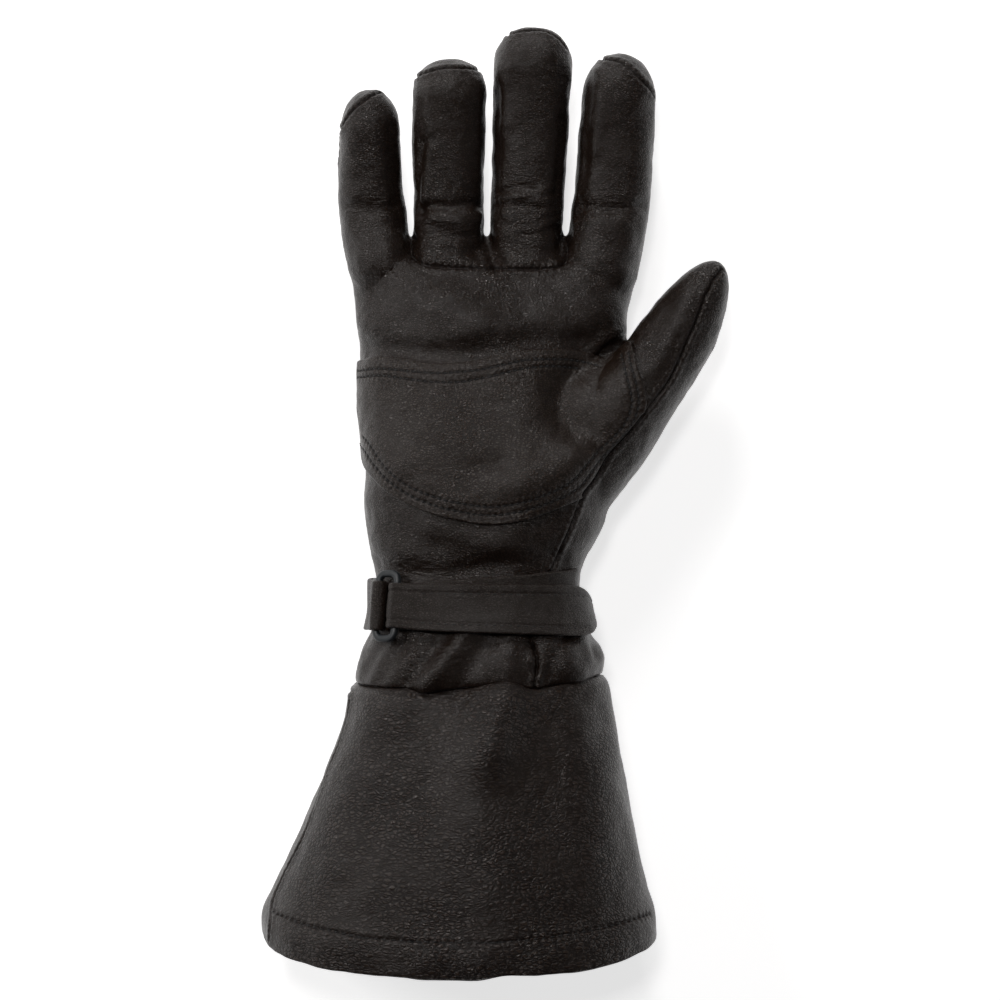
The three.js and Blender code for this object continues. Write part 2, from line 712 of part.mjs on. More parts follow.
// The cuff's ring of points, inside or outside. Its top edge turns in to the wrist seam.
function cuffRing(row, inward) {
  const section = {
    y: 0,
    left: row.left * CUFF_MOUTH_WIDTH,
    right: row.right * CUFF_MOUTH_WIDTH,
    low: row.low * CUFF_MOUTH_DEPTH,
    high: row.high * CUFF_MOUTH_DEPTH,
  };
  return ring(CUFF_SIDES, (angle) => {
    const point = sectionPoint(section, angle, -inward);
    point.y = -row.along * CUFF_LENGTH - row.sag * CUFF_HEM_SAG * Math.abs(Math.sin(angle));
    return point;
  });
}

function cuffWall() {
  const neck = handSection(0);
  const neckRing = (inward) => ring(CUFF_SIDES, (angle) => {
    const point = sectionPoint(neck, angle, -inward);
    point.y = -CLEARANCE;
    return point;
  });
  const hemTop = 1 - HEM_WIDTH / CUFF_LENGTH;
  const above = CUFF_SECTIONS.filter((row) => row.along < hemTop);
  const below = CUFF_SECTIONS.filter((row) => row.along > hemTop);
  const a = above.at(-1);
  const b = below[0];
  const hemRow = { along: hemTop };
  for (const size of ['left', 'right', 'low', 'high', 'sag']) {
    hemRow[size] = THREE.MathUtils.mapLinear(hemTop, a.along, b.along, a[size], b[size]);
  }
  const outside = [neckRing(0), ...CUFF_SECTIONS.map((row) => cuffRing(row, 0))];
  const inside = [
    neckRing(CUFF_LEATHER),
    ...above.map((row) => cuffRing(row, CUFF_LEATHER)),
    cuffRing(hemRow, CUFF_LEATHER),
    cuffRing({ ...hemRow, along: hemTop + CUFF_LEATHER / 4 / CUFF_LENGTH }, CUFF_LEATHER + HEM_FOLD),
    ...below.map((row) => cuffRing(row, CUFF_LEATHER + HEM_FOLD)),
  ];
  return solid(loft([...outside, ...inside.toReversed()], true));
}

// The cuff in two panels, split along its side seams.
function cuffPanels() {
  const wall = cuffWall();
  const neck = handSection(0);
  const line = [new THREE.Vector2(CUFF_LEATHER, seamHeight(neck)), new THREE.Vector2(-CLEARANCE, seamHeight(neck))];
  for (const row of CUFF_SECTIONS) {
    const height = seamHeight({ low: row.low * CUFF_MOUTH_DEPTH, high: row.high * CUFF_MOUTH_DEPTH });
    line.push(new THREE.Vector2(-row.along * CUFF_LENGTH, height));
  }
  line.push(new THREE.Vector2(-CUFF_LENGTH - 2 * CUFF_HEM_SAG, line.at(-1).y));
  const lowered = line.map((point) => point.clone().setY(point.y - SEAM_GAP));
  const upper = (points) => solid(aboveSeam(points.toReversed(), CUFF_MOUTH_WIDTH));
  return { front: wall.intersect(upper(line)), back: wall.subtract(upper(lowered)) };
}

// The wrist's surface at a place: place is the way over the palm side from the left edge and y the
// height on the hand.
function wristSurface(place, y) {
  const section = handSection(y);
  const angle = Math.PI * (1 - place);
  const step = 0.02;
  const point = sectionPoint(section, angle, 0);
  const tangent = sectionPoint(section, angle - step, 0).sub(sectionPoint(section, angle + step, 0)).normalize();
  return { point, tangent, normal: new THREE.Vector3(-tangent.z, 0, tangent.x) };
}

function wristPoint(place, y, lift) {
  const { point, normal } = wristSurface(place, y);
  return point.addScaledVector(normal, lift);
}

// The loop lies over the left shoulder of the wrist, tilted with it.
const loopReach = (LOOP_LENGTH - LOOP_BAR) / 2;
const loopEnds = [-1, 1].map((end) => wristPoint(LOOP_PLACE, LOOP_ALONG * HAND_LENGTH + end * loopReach, LOOP_LIFT));
const loopCentre = loopEnds[0].clone().lerp(loopEnds[1], 0.5);
const loopLong = loopEnds[1].clone().sub(loopEnds[0]).normalize();
const loopAcross = wristSurface(LOOP_PLACE, LOOP_ALONG * HAND_LENGTH).tangent.projectOnPlane(loopLong).normalize();
const loopUp = loopAcross.clone().cross(loopLong);

function loopPoint(across, long, up) {
  return loopCentre.clone()
    .addScaledVector(loopAcross, across).addScaledVector(loopLong, long).addScaledVector(loopUp, up);
}

// A rounded rectangle of round bar.
function loopShape() {
  const halfAcross = (LOOP_WIDTH - LOOP_BAR) / 2;
  const centres = [];
  const outward = [];
  const corners = [[1, 1, 0], [-1, 1, 90], [-1, -1, 180], [1, -1, 270]];
  for (const [x, y, start] of corners) {
    for (const turn of [0, 30, 60, 90]) {
      const angle = radians(start + turn);
      const direction = [Math.cos(angle), Math.sin(angle)];
      centres.push([
        x * (halfAcross - LOOP_CORNER) + LOOP_CORNER * direction[0],
        y * (loopReach - LOOP_CORNER) + LOOP_CORNER * direction[1],
      ]);
      outward.push(direction);
    }
  }
  const rings = centres.map(([x, y], i) => ring(8, (angle) => loopPoint(
    x + outward[i][0] * Math.cos(angle) * LOOP_BAR / 2,
    y + outward[i][1] * Math.cos(angle) * LOOP_BAR / 2,
    Math.sin(angle) * LOOP_BAR / 2,
  )));
  return loft(rings, true);
}

// A strip of leather folded round one bar of the loop. side is 1 for the right bar and -1 for the
// left one.
function foldedStrip({ side, leather, width, under, over, underAlong, overAlong }) {
  const bar = side * (LOOP_WIDTH - LOOP_BAR) / 2;
  const turnRadius = LOOP_BAR / 2 + CLEARANCE + leather / 2;
  const underLift = CLEARANCE + leather / 2;
  const overLift = underLift + leather + CLEARANCE;

  // Two edges of the strip at a row on the wrist, seen from its outer or its inner side.
  const onWrist = (row, lift, along) => [-1, 1].map((edge) => {
    const y = along * HAND_LENGTH + edge * width / 2 * row.wide;
    return wristPoint(row.place, y, lift);
  });
  const onBar = (angle, reach, wide) => [-1, 1].map((edge) => loopPoint(
    bar - side * reach * Math.cos(angle), edge * width / 2 * wide, reach * Math.sin(angle)));
  const section = (outer, inner) => [outer[0], outer[1], inner[1], inner[0]];

  const reach = (rows, place) => THREE.MathUtils.mapLinear(place, rows[0].place, rows.at(-1).place, 0, 1);
  const rings = [];
  for (const row of under) {
    const along = THREE.MathUtils.lerp(underAlong, LOOP_ALONG, reach(under, row.place));
    rings.push(section(onWrist(row, underLift - leather / 2, along), onWrist(row, underLift + leather / 2, along)));
  }
  for (let step = 0; step <= FOLD_STEPS; step++) {
    const angle = radians(THREE.MathUtils.lerp(FOLD_START, FOLD_END, step / FOLD_STEPS));
    const wide = over[0].wide;
    rings.push(section(onBar(angle, turnRadius + leather / 2, wide), onBar(angle, turnRadius - leather / 2, wide)));
  }
  for (const row of over) {
    const along = THREE.MathUtils.lerp(LOOP_ALONG, overAlong, reach(over, row.place));
    rings.push(section(onWrist(row, overLift + leather / 2, along), onWrist(row, overLift - leather / 2, along)));
  }
  return loft(rings);
}

const parts = new THREE.Group();

function addPart(name, geometry, { color, roughness, metalness = 0 }) {
  const material = new THREE.MeshStandardMaterial({ color, roughness, metalness });
  const mesh = new THREE.Mesh(geometry, material);
  mesh.name = name;
  parts.add(mesh);
}

const LEATHER_FINISH = { color: 0x2a2623, roughness: 0.55 };
const PATCH_FINISH = { color: 0x2e2b29, roughness: 0.6 };
const STRAP_FINISH = { color: 0x2b2725, roughness: 0.6 };

const panels = handPanels();
addPart('palm_panel', geometryOf(panels.palm), LEATHER_FINISH);
addPart('middle_fingers_front', geometryOf(panels.middle), LEATHER_FINISH);
addPart('thumb_front', geometryOf(panels.thumb), LEATHER_FINISH);
addPart('back_panel', geometryOf(panels.back), LEATHER_FINISH);
addPart('palm_patch', geometryOf(palmPatch()), PATCH_FINISH);
addPart('wrist_strap', foldedStrip(STRAP), STRAP_FINISH);
addPart('loop_tab', foldedStrip(TAB), STRAP_FINISH);
addPart('strap_loop', loopShape(), { color: 0x4a5056, roughness: 0.4 });
const cuff = cuffPanels();
addPart('cuff_front', geometryOf(cuff.front), LEATHER_FINISH);
addPart('cuff_back', geometryOf(cuff.back), LEATHER_FINISH);

// The origin is under the middle of the glove, on the surface it lies on.
const box = new THREE.Box3().setFromObject(parts);
const middle = box.getCenter(new THREE.Vector3());
parts.position.set(-middle.x, -middle.y, -box.min.z);

export default parts;
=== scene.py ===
from math import copysign, cos, pi, radians, sin, sqrt

import bmesh
import bpy
import numpy as np
from mathutils import Matrix, Vector, noise
from mathutils.bvhtree import BVHTree


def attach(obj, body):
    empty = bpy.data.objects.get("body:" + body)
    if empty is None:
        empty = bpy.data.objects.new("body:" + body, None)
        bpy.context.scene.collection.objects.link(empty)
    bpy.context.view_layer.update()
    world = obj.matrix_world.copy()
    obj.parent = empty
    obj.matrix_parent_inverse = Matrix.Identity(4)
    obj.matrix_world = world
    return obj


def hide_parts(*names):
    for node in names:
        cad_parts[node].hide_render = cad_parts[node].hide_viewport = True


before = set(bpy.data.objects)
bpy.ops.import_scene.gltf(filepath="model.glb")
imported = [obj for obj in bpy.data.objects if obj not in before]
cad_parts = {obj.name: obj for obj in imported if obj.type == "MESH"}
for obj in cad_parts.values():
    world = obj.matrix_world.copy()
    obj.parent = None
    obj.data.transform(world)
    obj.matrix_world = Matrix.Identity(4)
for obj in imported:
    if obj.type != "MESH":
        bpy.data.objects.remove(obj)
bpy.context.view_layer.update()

# The table and the view. The glove lies palm up on a white table top and is seen from straight
# above, from a little over a metre. It is made in millimetres, measured from the middle of its
# wrist seam, and every finished piece is brought to the glove's place on the table in metres.
TO_TABLE = Matrix.Scale(0.001, 4) @ Matrix.Translation((0.75, -71.4, 0.0))
EYE = Vector((1.3, 68.85, 1122.0))
SIGHT = 0.37 / 1100.0
VIEW_PIXELS = 1000

camera = bpy.data.objects.new("view_from_above", bpy.data.cameras.new("view_from_above"))
camera.data.sensor_width = 36.0
camera.data.lens = camera.data.sensor_width / (VIEW_PIXELS * SIGHT)
camera.data.clip_start = 0.01
camera.location = TO_TABLE @ EYE
bpy.context.collection.objects.link(camera)
bpy.context.scene.camera = camera


def linear(colour):
    """A #rrggbb screen colour as the linear colour that a shader takes."""
    steps = [int(colour[k:k + 2], 16) / 255 for k in (1, 3, 5)]
    return [s / 12.92 if s <= 0.04045 else ((s + 0.055) / 1.055) ** 2.4 for s in steps] + [1.0]


def per_metre(size):
    """How often a pattern of a size in mm comes in a metre, which is a texture's scale."""
    return 1000.0 / size


def add(tree, kind, sockets=None, **settings):
    """Adds one node. A socket's value is a number, a colour or another node's output."""
    node = tree.nodes.new(kind)
    for name, value in settings.items():
        setattr(node, name, value)
    for name, value in (sockets or {}).items():
        if isinstance(value, bpy.types.NodeSocket):
            tree.links.new(value, node.inputs[name])
        else:
            node.inputs[name].default_value = value
    return node


# Opal acrylic, cast: a light table's milk-white sheet, matt, with faint flecks, and lit from below so
# that it shows hardly any shadow.
TABLE_HALF = 3.0
UNDER_GLOVE = 0.0002
FLECK = 1.11111
TABLE_GLOW = 0.7


def opal_acrylic():
    sheet = bpy.data.materials.new("opal_acrylic")
    sheet.use_nodes = True
    tree = sheet.node_tree
    tree.nodes.clear()
    spot = add(tree, "ShaderNodeTexCoord").outputs["Object"]
    fleck = add(tree, "ShaderNodeTexNoise", {"Vector": spot, "Scale": per_metre(FLECK)}).outputs["Fac"]
    shade = add(tree, "ShaderNodeMixRGB", {
        "Fac": fleck, "Color1": linear("#f6f6f6"), "Color2": linear("#fafafa")})
    skin = add(tree, "ShaderNodeBsdfPrincipled", {
        "Base Color": shade.outputs["Color"], "Roughness": 0.85, "IOR": 1.45,
        "Emission Color": linear("#ffffff"), "Emission Strength": TABLE_GLOW})
    add(tree, "ShaderNodeOutputMaterial", {"Surface": skin.outputs["BSDF"]})
    return sheet


bm = bmesh.new()
bmesh.ops.create_grid(bm, x_segments=1, y_segments=1, size=TABLE_HALF)
bmesh.ops.translate(bm, verts=bm.verts, vec=(0.0, 0.0, -UNDER_GLOVE))
table = bpy.data.objects.new("table_top", bpy.data.meshes.new("table_top"))
bm.to_mesh(table.data)
bm.free()
table.data.materials.append(opal_acrylic())
bpy.context.collection.objects.link(table)

world = bpy.data.worlds.new("studio")
world.use_nodes = True
world.node_tree.nodes["Background"].inputs["Color"].default_value = (0.93, 0.96, 1.0, 1.0)
world.node_tree.nodes["Background"].inputs["Strength"].default_value = 0.04
bpy.context.scene.world = world
bpy.context.scene.view_settings.view_transform = "Standard"

# Soft boxes: name, place, width and watts. They all face the middle of the glove.
SOFTBOXES = [
    ("softbox_above", (-0.14, 0.42, 1.65), 0.24, 5.4),
    ("softbox_top", (-0.1, 1.25, 0.75), 0.25, 5.5),
    ("softbox_left", (-1.0, 0.35, 0.75), 0.35, 5.0),
    ("softbox_right", (1.2, 0.1, 0.6), 0.5, 0.8),
]
GLOVE_MIDDLE = Vector((0.0, 0.0, 0.03))
for name, place, size, watts in SOFTBOXES:
    lamp = bpy.data.objects.new(name, bpy.data.lights.new(name, "AREA"))
    lamp.data.size = size
    lamp.data.energy = watts
    lamp.data.color = (1.0, 0.98, 0.97)
    lamp.location = place
    lamp.rotation_euler = (GLOVE_MIDDLE - Vector(place)).to_track_quat("-Z", "Y").to_euler()
    bpy.context.collection.objects.link(lamp)


# The leather of the hand. All the panels of the hand are cut from one soft hollow form: the palm
# and the wrist are an oval sleeve, the fingers and the thumb are tubes that grow out of it, and
# one skin is drawn over them all and smoothed where they meet.
LEATHER = 1.7
# The roundness of a section, 1 for an ellipse, and the height of its side seams as a share of its own.
OVAL = 0.84
SIDE_SEAM = 0.46
ROUND_SIDES = 96
HAND_SECTIONS = 48
HAND_VOXEL = 0.91
HOLLOW_VOXEL = 2.0
# Sections of the hand: distance from the wrist seam, left edge, right edge, lowest, highest.
HAND_ROWS = [
    (0.0, -51.8, 39.3, 3.4, 55.2),
    (1.9, -51.9, 39.7, 3.0, 55.6),
    (5.7, -51.3, 40.0, 2.8, 55.9),
    (12.2, -49.6, 39.3, 3.0, 55.0),
    (20.2, -46.0, 34.0, 4.4, 52.4),
    (30.0, -44.0, 31.1, 5.7, 49.3),
    (39.7, -44.2, 30.2, 5.3, 48.4),
    (47.8, -45.7, 32.8, 3.5, 49.7),
    (58.3, -48.0, 39.4, 0.5, 51.0),
    (69.7, -48.8, 43.0, -2.5, 52.0),
    (81.8, -48.1, 47.2, -4.0, 51.5),
    (95.6, -49.8, 48.9, -4.5, 50.0),
    (109.4, -50.3, 49.1, -4.5, 47.0),
    (123.1, -50.4, 48.0, -4.5, 43.5),
    (136.9, -52.0, 48.3, -4.0, 41.0),
    (150.7, -53.8, 51.4, -2.5, 35.5),
    (160.4, -54.6, 52.5, 2.0, 27.0),
    (166.0, -51.4, 49.3, 7.0, 21.0),
]
# Fingers: place of the root, lean to the thumb side in degrees, length, width at the root, at the
# middle and before the tip, depth, length of the closing tip, sideways bow, lift of the tip, and
# how blunt the tip is.
FINGERS = {
    "little": ((-42.6, 153.1, 17.5), -2.2, 66.0, (23.2, 24.9, 22.4), 25.0, 17.0, -5.6, 12.0, 2.1),
    "ring": ((-18.1, 153.1, 17.5), 0.5, 77.0, (24.7, 26.0, 27.6), 27.0, 13.0, 0.0, 15.0, 2.2),
    "middle": ((10.5, 153.1, 17.5), 2.2, 89.0, (25.6, 27.2, 28.9), 28.0, 15.0, 0.2, 18.0, 2.1),
    "index": ((38.9, 153.1, 17.5), 4.4, 79.6, (27.4, 28.6, 27.6), 27.0, 18.0, 3.6, 14.0, 2.0),
    "thumb": ((26.5, 74.2, 25.0), 34.0, 98.5, (35.4, 32.0, 27.8), 29.0, 34.0, 5.0, 14.0, 1.5),
}
# How far a finger reaches back into the palm.
ROOT_DEPTH = 10
# Depths down a finger, as shares of its own.
FINGER_DEPTHS = [(0.0, 1.06), (0.18, 1.08), (0.36, 1.0), (0.52, 0.98), (0.76, 0.94), (1.0, 0.88)]
THUMB_DEPTHS = [(0.0, 1.12), (0.17, 1.24), (0.38, 1.22), (0.58, 1.14), (0.8, 1.05), (1.0, 0.96)]


def eased(before, after):
    """The slope where two stretches of a curve meet: their harmonic mean, or level where it turns."""
    total = before + after
    return np.where(before * after > 0, 2 * before * after / (total + 1e-12 * (total == 0)), 0.0)


def flowing(rows, at):
    """A table's values at any place between its rows, on a smooth curve that never overshoots."""
    rows = np.asarray(rows, float)
    places, values = rows[:, 0], rows[:, 1:]
    k = int(np.clip(np.searchsorted(places, at) - 1, 0, len(places) - 2))
    gaps = np.diff(places)
    steps = np.diff(values, axis=0) / gaps[:, None]
    before, here, after = steps[max(k - 1, 0)], steps[k], steps[min(k + 1, len(steps) - 1)]
    slope_in, slope_out = eased(before, here), eased(here, after)
    gap = gaps[k]
    t = min(max((at - places[k]) / gap, 0.0), 1.0)
    return (values[k] * (2 * t ** 3 - 3 * t ** 2 + 1) + values[k + 1] * (3 * t ** 2 - 2 * t ** 3)
            + slope_in * gap * (t ** 3 - 2 * t ** 2 + t) + slope_out * gap * (t ** 3 - t ** 2))


def power(value, exponent):
    return copysign(abs(value) ** exponent, value)


def oval(row, y, angle, grow=0.0):
    """A point of a flattened oval section, which never goes below the table."""
    left, right, low, high = row[:4]
    middle = low + SIDE_SEAM * (high - low)
    reach = (high - middle if sin(angle) > 0 else middle - low) + grow
    across = ((right - left) / 2 + grow) * power(cos(angle), OVAL)
    return Vector(((left + right) / 2 + across, y, max(middle + reach * power(sin(angle), OVAL), -grow)))


def turn(sides):
    return [2 * pi * k / sides for k in range(sides)]


def drawn_skin(bm, rings, closed=False):
    """Draws a skin over a row of rings: circles pulled into shape, bridged one to the next."""
    loops = []
    for ring in rings:
        circle = bmesh.ops.create_circle(bm, segments=len(ring), radius=1.0)["verts"]
        for vert, place in zip(circle, ring):
            vert.co = place
        loops.append(list({edge for vert in circle for edge in vert.link_edges}))
    for here, after in zip(loops, loops[1:] + loops[:1] if closed else loops[1:]):
        bmesh.ops.bridge_loops(bm, edges=here + after)
    if not closed:
        bmesh.ops.holes_fill(bm, edges=loops[0] + loops[-1], sides=0)


def spine(finger, u):
    """The middle line of a finger: a place and the way it runs."""
    root, lean, length, _, _, _, bow, lift, _ = finger
    ahead = Vector((sin(radians(lean)), cos(radians(lean)), 0.0))
    aside = Vector((ahead.y, -ahead.x, 0.0))
    a = Vector(root)
    b = a + ahead * length * 0.55 + aside * bow
    c = a + ahead * length + Vector((0.0, 0.0, lift))
    return a * (1 - u) ** 2 + b * 2 * u * (1 - u) + c * u * u, ((b - a) * (1 - u) + (c - b) * u).normalized()


def finger_rings(finger, depths, sides=40):
    """Sections of a finger from inside the palm to its tip, for its skin."""
    _, _, length, widths, depth, tip, _, _, blunt = finger
    straight = (length - tip) / length
    widths = list(zip((0.0, 0.4, 1.0), widths))
    stations = [(u * straight, *flowing(widths, u), depth * flowing(depths, u)[0], 1.0)
                for u in np.linspace(0, 1, 14)]
    for step in (0.12, 0.25, 0.38, 0.5, 0.62, 0.72, 0.81, 0.88, 0.94, 0.98, 0.998):
        stations.append((straight + step * tip / length, widths[-1][1], depth * depths[-1][1],
                         sqrt(1 - step ** blunt)))
    rings = []
    for u, wide, deep, close in stations:
        place, ahead = spine(finger, u)
        across = ahead.cross((0, 0, 1)).normalized()
        up = across.cross(ahead)
        rings.append([place
                      + across * wide / 2 * close * power(cos(a), OVAL)
                      + up * deep / 2 * close * power(sin(a), OVAL) for a in turn(sides)])
    root, ahead = spine(finger, 0)
    rings.insert(0, [place.lerp(root, 0.25) - ahead * ROOT_DEPTH for place in rings[0]])
    for ring in rings:
        for place in ring:
            place.z = max(place.z, 0.0)
    return rings


def as_object(name, bm):
    piece = bpy.data.objects.new(name, bpy.data.meshes.new(name))
    bm.to_mesh(piece.data)
    bm.free()
    bpy.context.collection.objects.link(piece)
    return piece


def tooled(piece, kind, **settings):
    """Works a piece with one modifier and keeps the result."""
    tool = piece.modifiers.new(kind.lower(), kind)
    for name, value in settings.items():
        setattr(tool, name, value)
    worked = bpy.data.meshes.new_from_object(piece.evaluated_get(bpy.context.evaluated_depsgraph_get()))
    piece.modifiers.clear()
    spent, piece.data = piece.data, worked
    bpy.data.meshes.remove(spent)
    return piece


def copied(piece, name):
    twin = bpy.data.objects.new(name, piece.data.copy())
    bpy.context.collection.objects.link(twin)
    return twin


def scrap(*pieces):
    for piece in pieces:
        bpy.data.objects.remove(piece)


def places_of(piece):
    flat = np.empty(len(piece.data.vertices) * 3)
    piece.data.vertices.foreach_get("co", flat)
    return flat.reshape(-1, 3)


def facing_of(piece):
    flat = np.empty(len(piece.data.vertices) * 3)
    piece.data.vertex_normals.foreach_get("vector", flat)
    return flat.reshape(-1, 3)


def moved_to(piece, places):
    piece.data.vertices.foreach_set("co", places.ravel())
    piece.data.update()


bm = bmesh.new()
drawn_skin(bm, [[oval(flowing(HAND_ROWS, y), y, a) for a in turn(ROUND_SIDES)]
                for y in np.linspace(0.0, HAND_ROWS[-1][0], HAND_SECTIONS)])
for name, finger in FINGERS.items():
    drawn_skin(bm, finger_rings(finger, THUMB_DEPTHS if name == "thumb" else FINGER_DEPTHS))
bmesh.ops.recalc_face_normals(bm, faces=bm.faces)
hand = as_object("hand_form", bm)
tooled(hand, "REMESH", mode="VOXEL", voxel_size=HAND_VOXEL)
tooled(hand, "SMOOTH", factor=0.5, iterations=14)


def tree_of(piece):
    return BVHTree.FromPolygons([v.co for v in piece.data.vertices],
                                [p.vertices for p in piece.data.polygons])


def sighted(tree, spots, height=22.0):
    """Spots of the view, in pixels, as places on the leather, or at a height where they miss it."""
    places = []
    for x, y in spots:
        ray = Vector(((x - VIEW_PIXELS / 2) * SIGHT, (VIEW_PIXELS / 2 - y) * SIGHT, -1.0))
        hit = tree.ray_cast(EYE, ray.normalized())[0]
        places.append(hit if hit is not None else EYE + ray * (EYE.z - height))
    return places


def smooth_spots(spots, step=4.0):
    """A line seen in the view, drawn smoothly with a spot every few pixels."""
    spots = np.asarray(spots, float)
    run = np.concatenate([[0.0], np.cumsum(np.linalg.norm(np.diff(spots, axis=0), axis=1))])
    rows = np.column_stack([run, spots])
    count = max(2, int(run[-1] / step))
    return [tuple(flowing(rows, at)) for at in np.linspace(0.0, run[-1], count)]


def traced(tree, spots, step=3.0):
    """A line seen in the view, drawn smoothly on the leather."""
    return sighted(tree, smooth_spots(spots, step))


def beside(places, line, reach):
    """Which places are within reach of a line, how far each is from it, and how far along it."""
    line = np.array([tuple(p) for p in line])
    near = np.nonzero(np.all((places > line.min(0) - reach) & (places < line.max(0) + reach), axis=1))[0]
    away = np.full(len(near), np.inf)
    run = np.zeros(len(near))
    start = 0.0
    for a, b in zip(line, line[1:]):
        span = np.linalg.norm(b - a)
        if span < 1e-6:
            continue
        t = np.clip((places[near] - a) @ (b - a) / span ** 2, 0.0, 1.0)
        gap = np.linalg.norm(places[near] - a - t[:, None] * (b - a), axis=1)
        closer = gap < away
        away[closer] = gap[closer]
        run[closer] = start + t[closer] * span
        start += span
    kept = away < reach
    return near[kept], away[kept], run[kept]


def folded(piece, tree, folds):
    """Presses folds into the upper side: the depth, reach and line of each. A swell is below 0."""
    places, facing = places_of(piece), facing_of(piece)
    deep = np.zeros(len(places))
    flat = places * (1, 1, 0)
    for depth, reach, spots in folds:
        line = [(p.x, p.y, 0.0) for p in traced(tree, spots, 6.0)]
        near, away, _ = beside(flat, line, reach * 2.6)
        deep[near] += depth * np.exp(-(away / reach) ** 2)
    deep *= np.clip(facing[:, 2] * 2.2, 0.0, 1.0)
    moved_to(piece, places - facing * deep[:, None])


def rumpled(piece, amounts):
    """Gives leather its slight unevenness: height and wavelength of each kind of waviness."""
    places, facing = places_of(piece), facing_of(piece)
    rise = np.zeros(len(places))
    for height, wave in amounts:
        rise += height * np.array([noise.noise(Vector(p) / wave) for p in places])
    rise *= np.clip(places[:, 2] / 3.0, 0.0, 1.0)
    moved_to(piece, places + facing * rise[:, None])


# Folds and swellings of the palm side: depth and reach in mm, and the line of each in the view.
HAND_FOLDS = [
    # the palm: a hollow over the patch, swellings above it, the pocket beside the thumb's root
    (2.3, 4.5, [(352, 351), (378, 347), (405, 350), (436, 354), (474, 351), (505, 345), (540, 340),
                (580, 342)]),
    (-2.6, 9.0, [(385, 258), (412, 288), (440, 315), (470, 334), (500, 338)]),
    (-1.6, 7.0, [(448, 300), (480, 318)]),
    (1.6, 8.0, [(372, 300), (400, 322)]),
    (-1.2, 7.0, [(360, 325), (385, 332)]),
    (1.1, 13.0, [(530, 300), (570, 312)]),
    (-2.0, 9.0, [(590, 262), (604, 300)]),
    (5.2, 7.5, [(603, 354), (585, 366), (567, 384), (562, 408), (574, 434)]),
    (-3.4, 11.0, [(616, 376), (606, 408), (588, 440)]),
    (1.6, 16.0, [(430, 425), (490, 410)]),
    (-1.6, 8.0, [(385, 450), (400, 462)]),
    (-3.0, 7.5, [(524, 481), (548, 473), (568, 458)]),
    (1.3, 7.0, [(455, 480), (500, 470)]),
    (0.7, 4.5, [(372, 520), (410, 536), (440, 548)]),
    (-1.2, 6.0, [(440, 528), (480, 540), (520, 532)]),
    (1.1, 3.5, [(376, 566), (440, 573), (520, 560), (560, 556)]),
    (-0.9, 4.0, [(500, 548), (545, 560)]),
    (2.4, 1.4, [(598, 358), (606, 354), (610, 348), (615, 344), (623, 340), (631, 337)]),
    (-1.4, 3.0, [(604, 345), (612, 337), (624, 331)]),
    # the fingers: creases at the joints and hollows down their sides
    (1.7, 2.2, [(418, 211), (434, 206), (452, 207.5), (468, 205), (484, 206)]),
    (-1.5, 4.0, [(430, 218), (455, 220), (476, 217)]),
    (0.8, 2.4, [(424, 220), (440, 232), (464, 240)]),
    (-0.7, 3.0, [(432, 245), (460, 246)]),
    (0.6, 1.8, [(430, 240), (448, 250), (474, 253)]),
    (1.6, 2.0, [(423, 145), (420, 170), (416, 196), (420, 214)]),
    (-1.2, 2.4, [(428, 150), (426, 180), (424, 200)]),
    (-0.7, 3.0, [(428, 90), (429, 130)]),
    (0.9, 1.3, [(500, 192), (520, 187), (535, 189)]),
    (-0.9, 3.2, [(515, 198), (545, 195)]),
    (0.7, 1.2, [(530, 197), (556, 193)]),
    (0.9, 1.3, [(495, 206), (515, 204), (540, 208)]),
    (0.6, 1.1, [(530, 214), (548, 218), (560, 214)]),
    (0.6, 1.2, [(502, 222), (516, 226), (540, 222)]),
    (0.7, 1.4, [(520, 236), (545, 232), (560, 226)]),
    (0.5, 1.2, [(503, 243), (522, 247)]),
    (1.4, 2.2, [(494, 90), (494, 130), (493, 180), (492, 215)]),
    (-0.8, 3.0, [(506, 70), (506, 120)]),
    (1.0, 2.0, [(563, 120), (560, 170), (559, 205)]),
    (1.5, 2.4, [(583, 207), (610, 210), (643, 206)]),
    (-0.9, 5.0, [(600, 222), (622, 224)]),
    (1.1, 2.4, [(590, 75), (587, 110), (584, 160), (576, 215)]),
    (-1.0, 3.2, [(598, 72), (597, 110), (594, 150)]),
    (0.9, 2.6, [(346, 207), (370, 210), (396, 207)]),
    (-0.8, 3.0, [(352, 130), (350, 170)]),
    (1.2, 2.6, [(392, 130), (397, 190), (402, 225)]),
    (2.2, 2.2, [(486, 226), (488, 240), (492, 255), (497, 265)]),
    (1.8, 2.4, [(411, 238), (411, 250), (416, 260)]),
    (1.8, 2.4, [(563, 230), (565, 246), (566, 261)]),
    (-1.4, 3.0, [(425, 258), (470, 261)]),
    (-1.4, 3.0, [(510, 262), (550, 261)]),
    # the thumb
    (-1.2, 4.0, [(690, 300), (672, 335), (655, 370)]),
    (0.9, 4.0, [(668, 300), (650, 330)]),
    # gathers of the wrist, between strap and cuff
    (-2.3, 3.8, [(467, 632), (452, 652), (436, 672), (426, 684)]),
    (1.5, 3.4, [(444, 634), (428, 655), (408, 682)]),
    (1.3, 3.8, [(492, 634), (478, 658), (462, 684)]),
    (0.8, 2.4, [(408, 638), (394, 656), (380, 680)]),
    (0.7, 1.8, [(386, 640), (374, 656), (364, 676)]),
    (-1.0, 4.5, [(512, 640), (506, 680)]),
    (1.5, 1.5, [(529, 630), (535, 647), (538, 660), (537, 671)]),
    (-1.6, 4.5, [(552, 640), (564, 656), (576, 674)]),
    (1.2, 3.0, [(566, 634), (556, 652), (548, 680)]),
    (1.2, 1.6, [(590, 630), (594, 645), (598, 656)]),
]
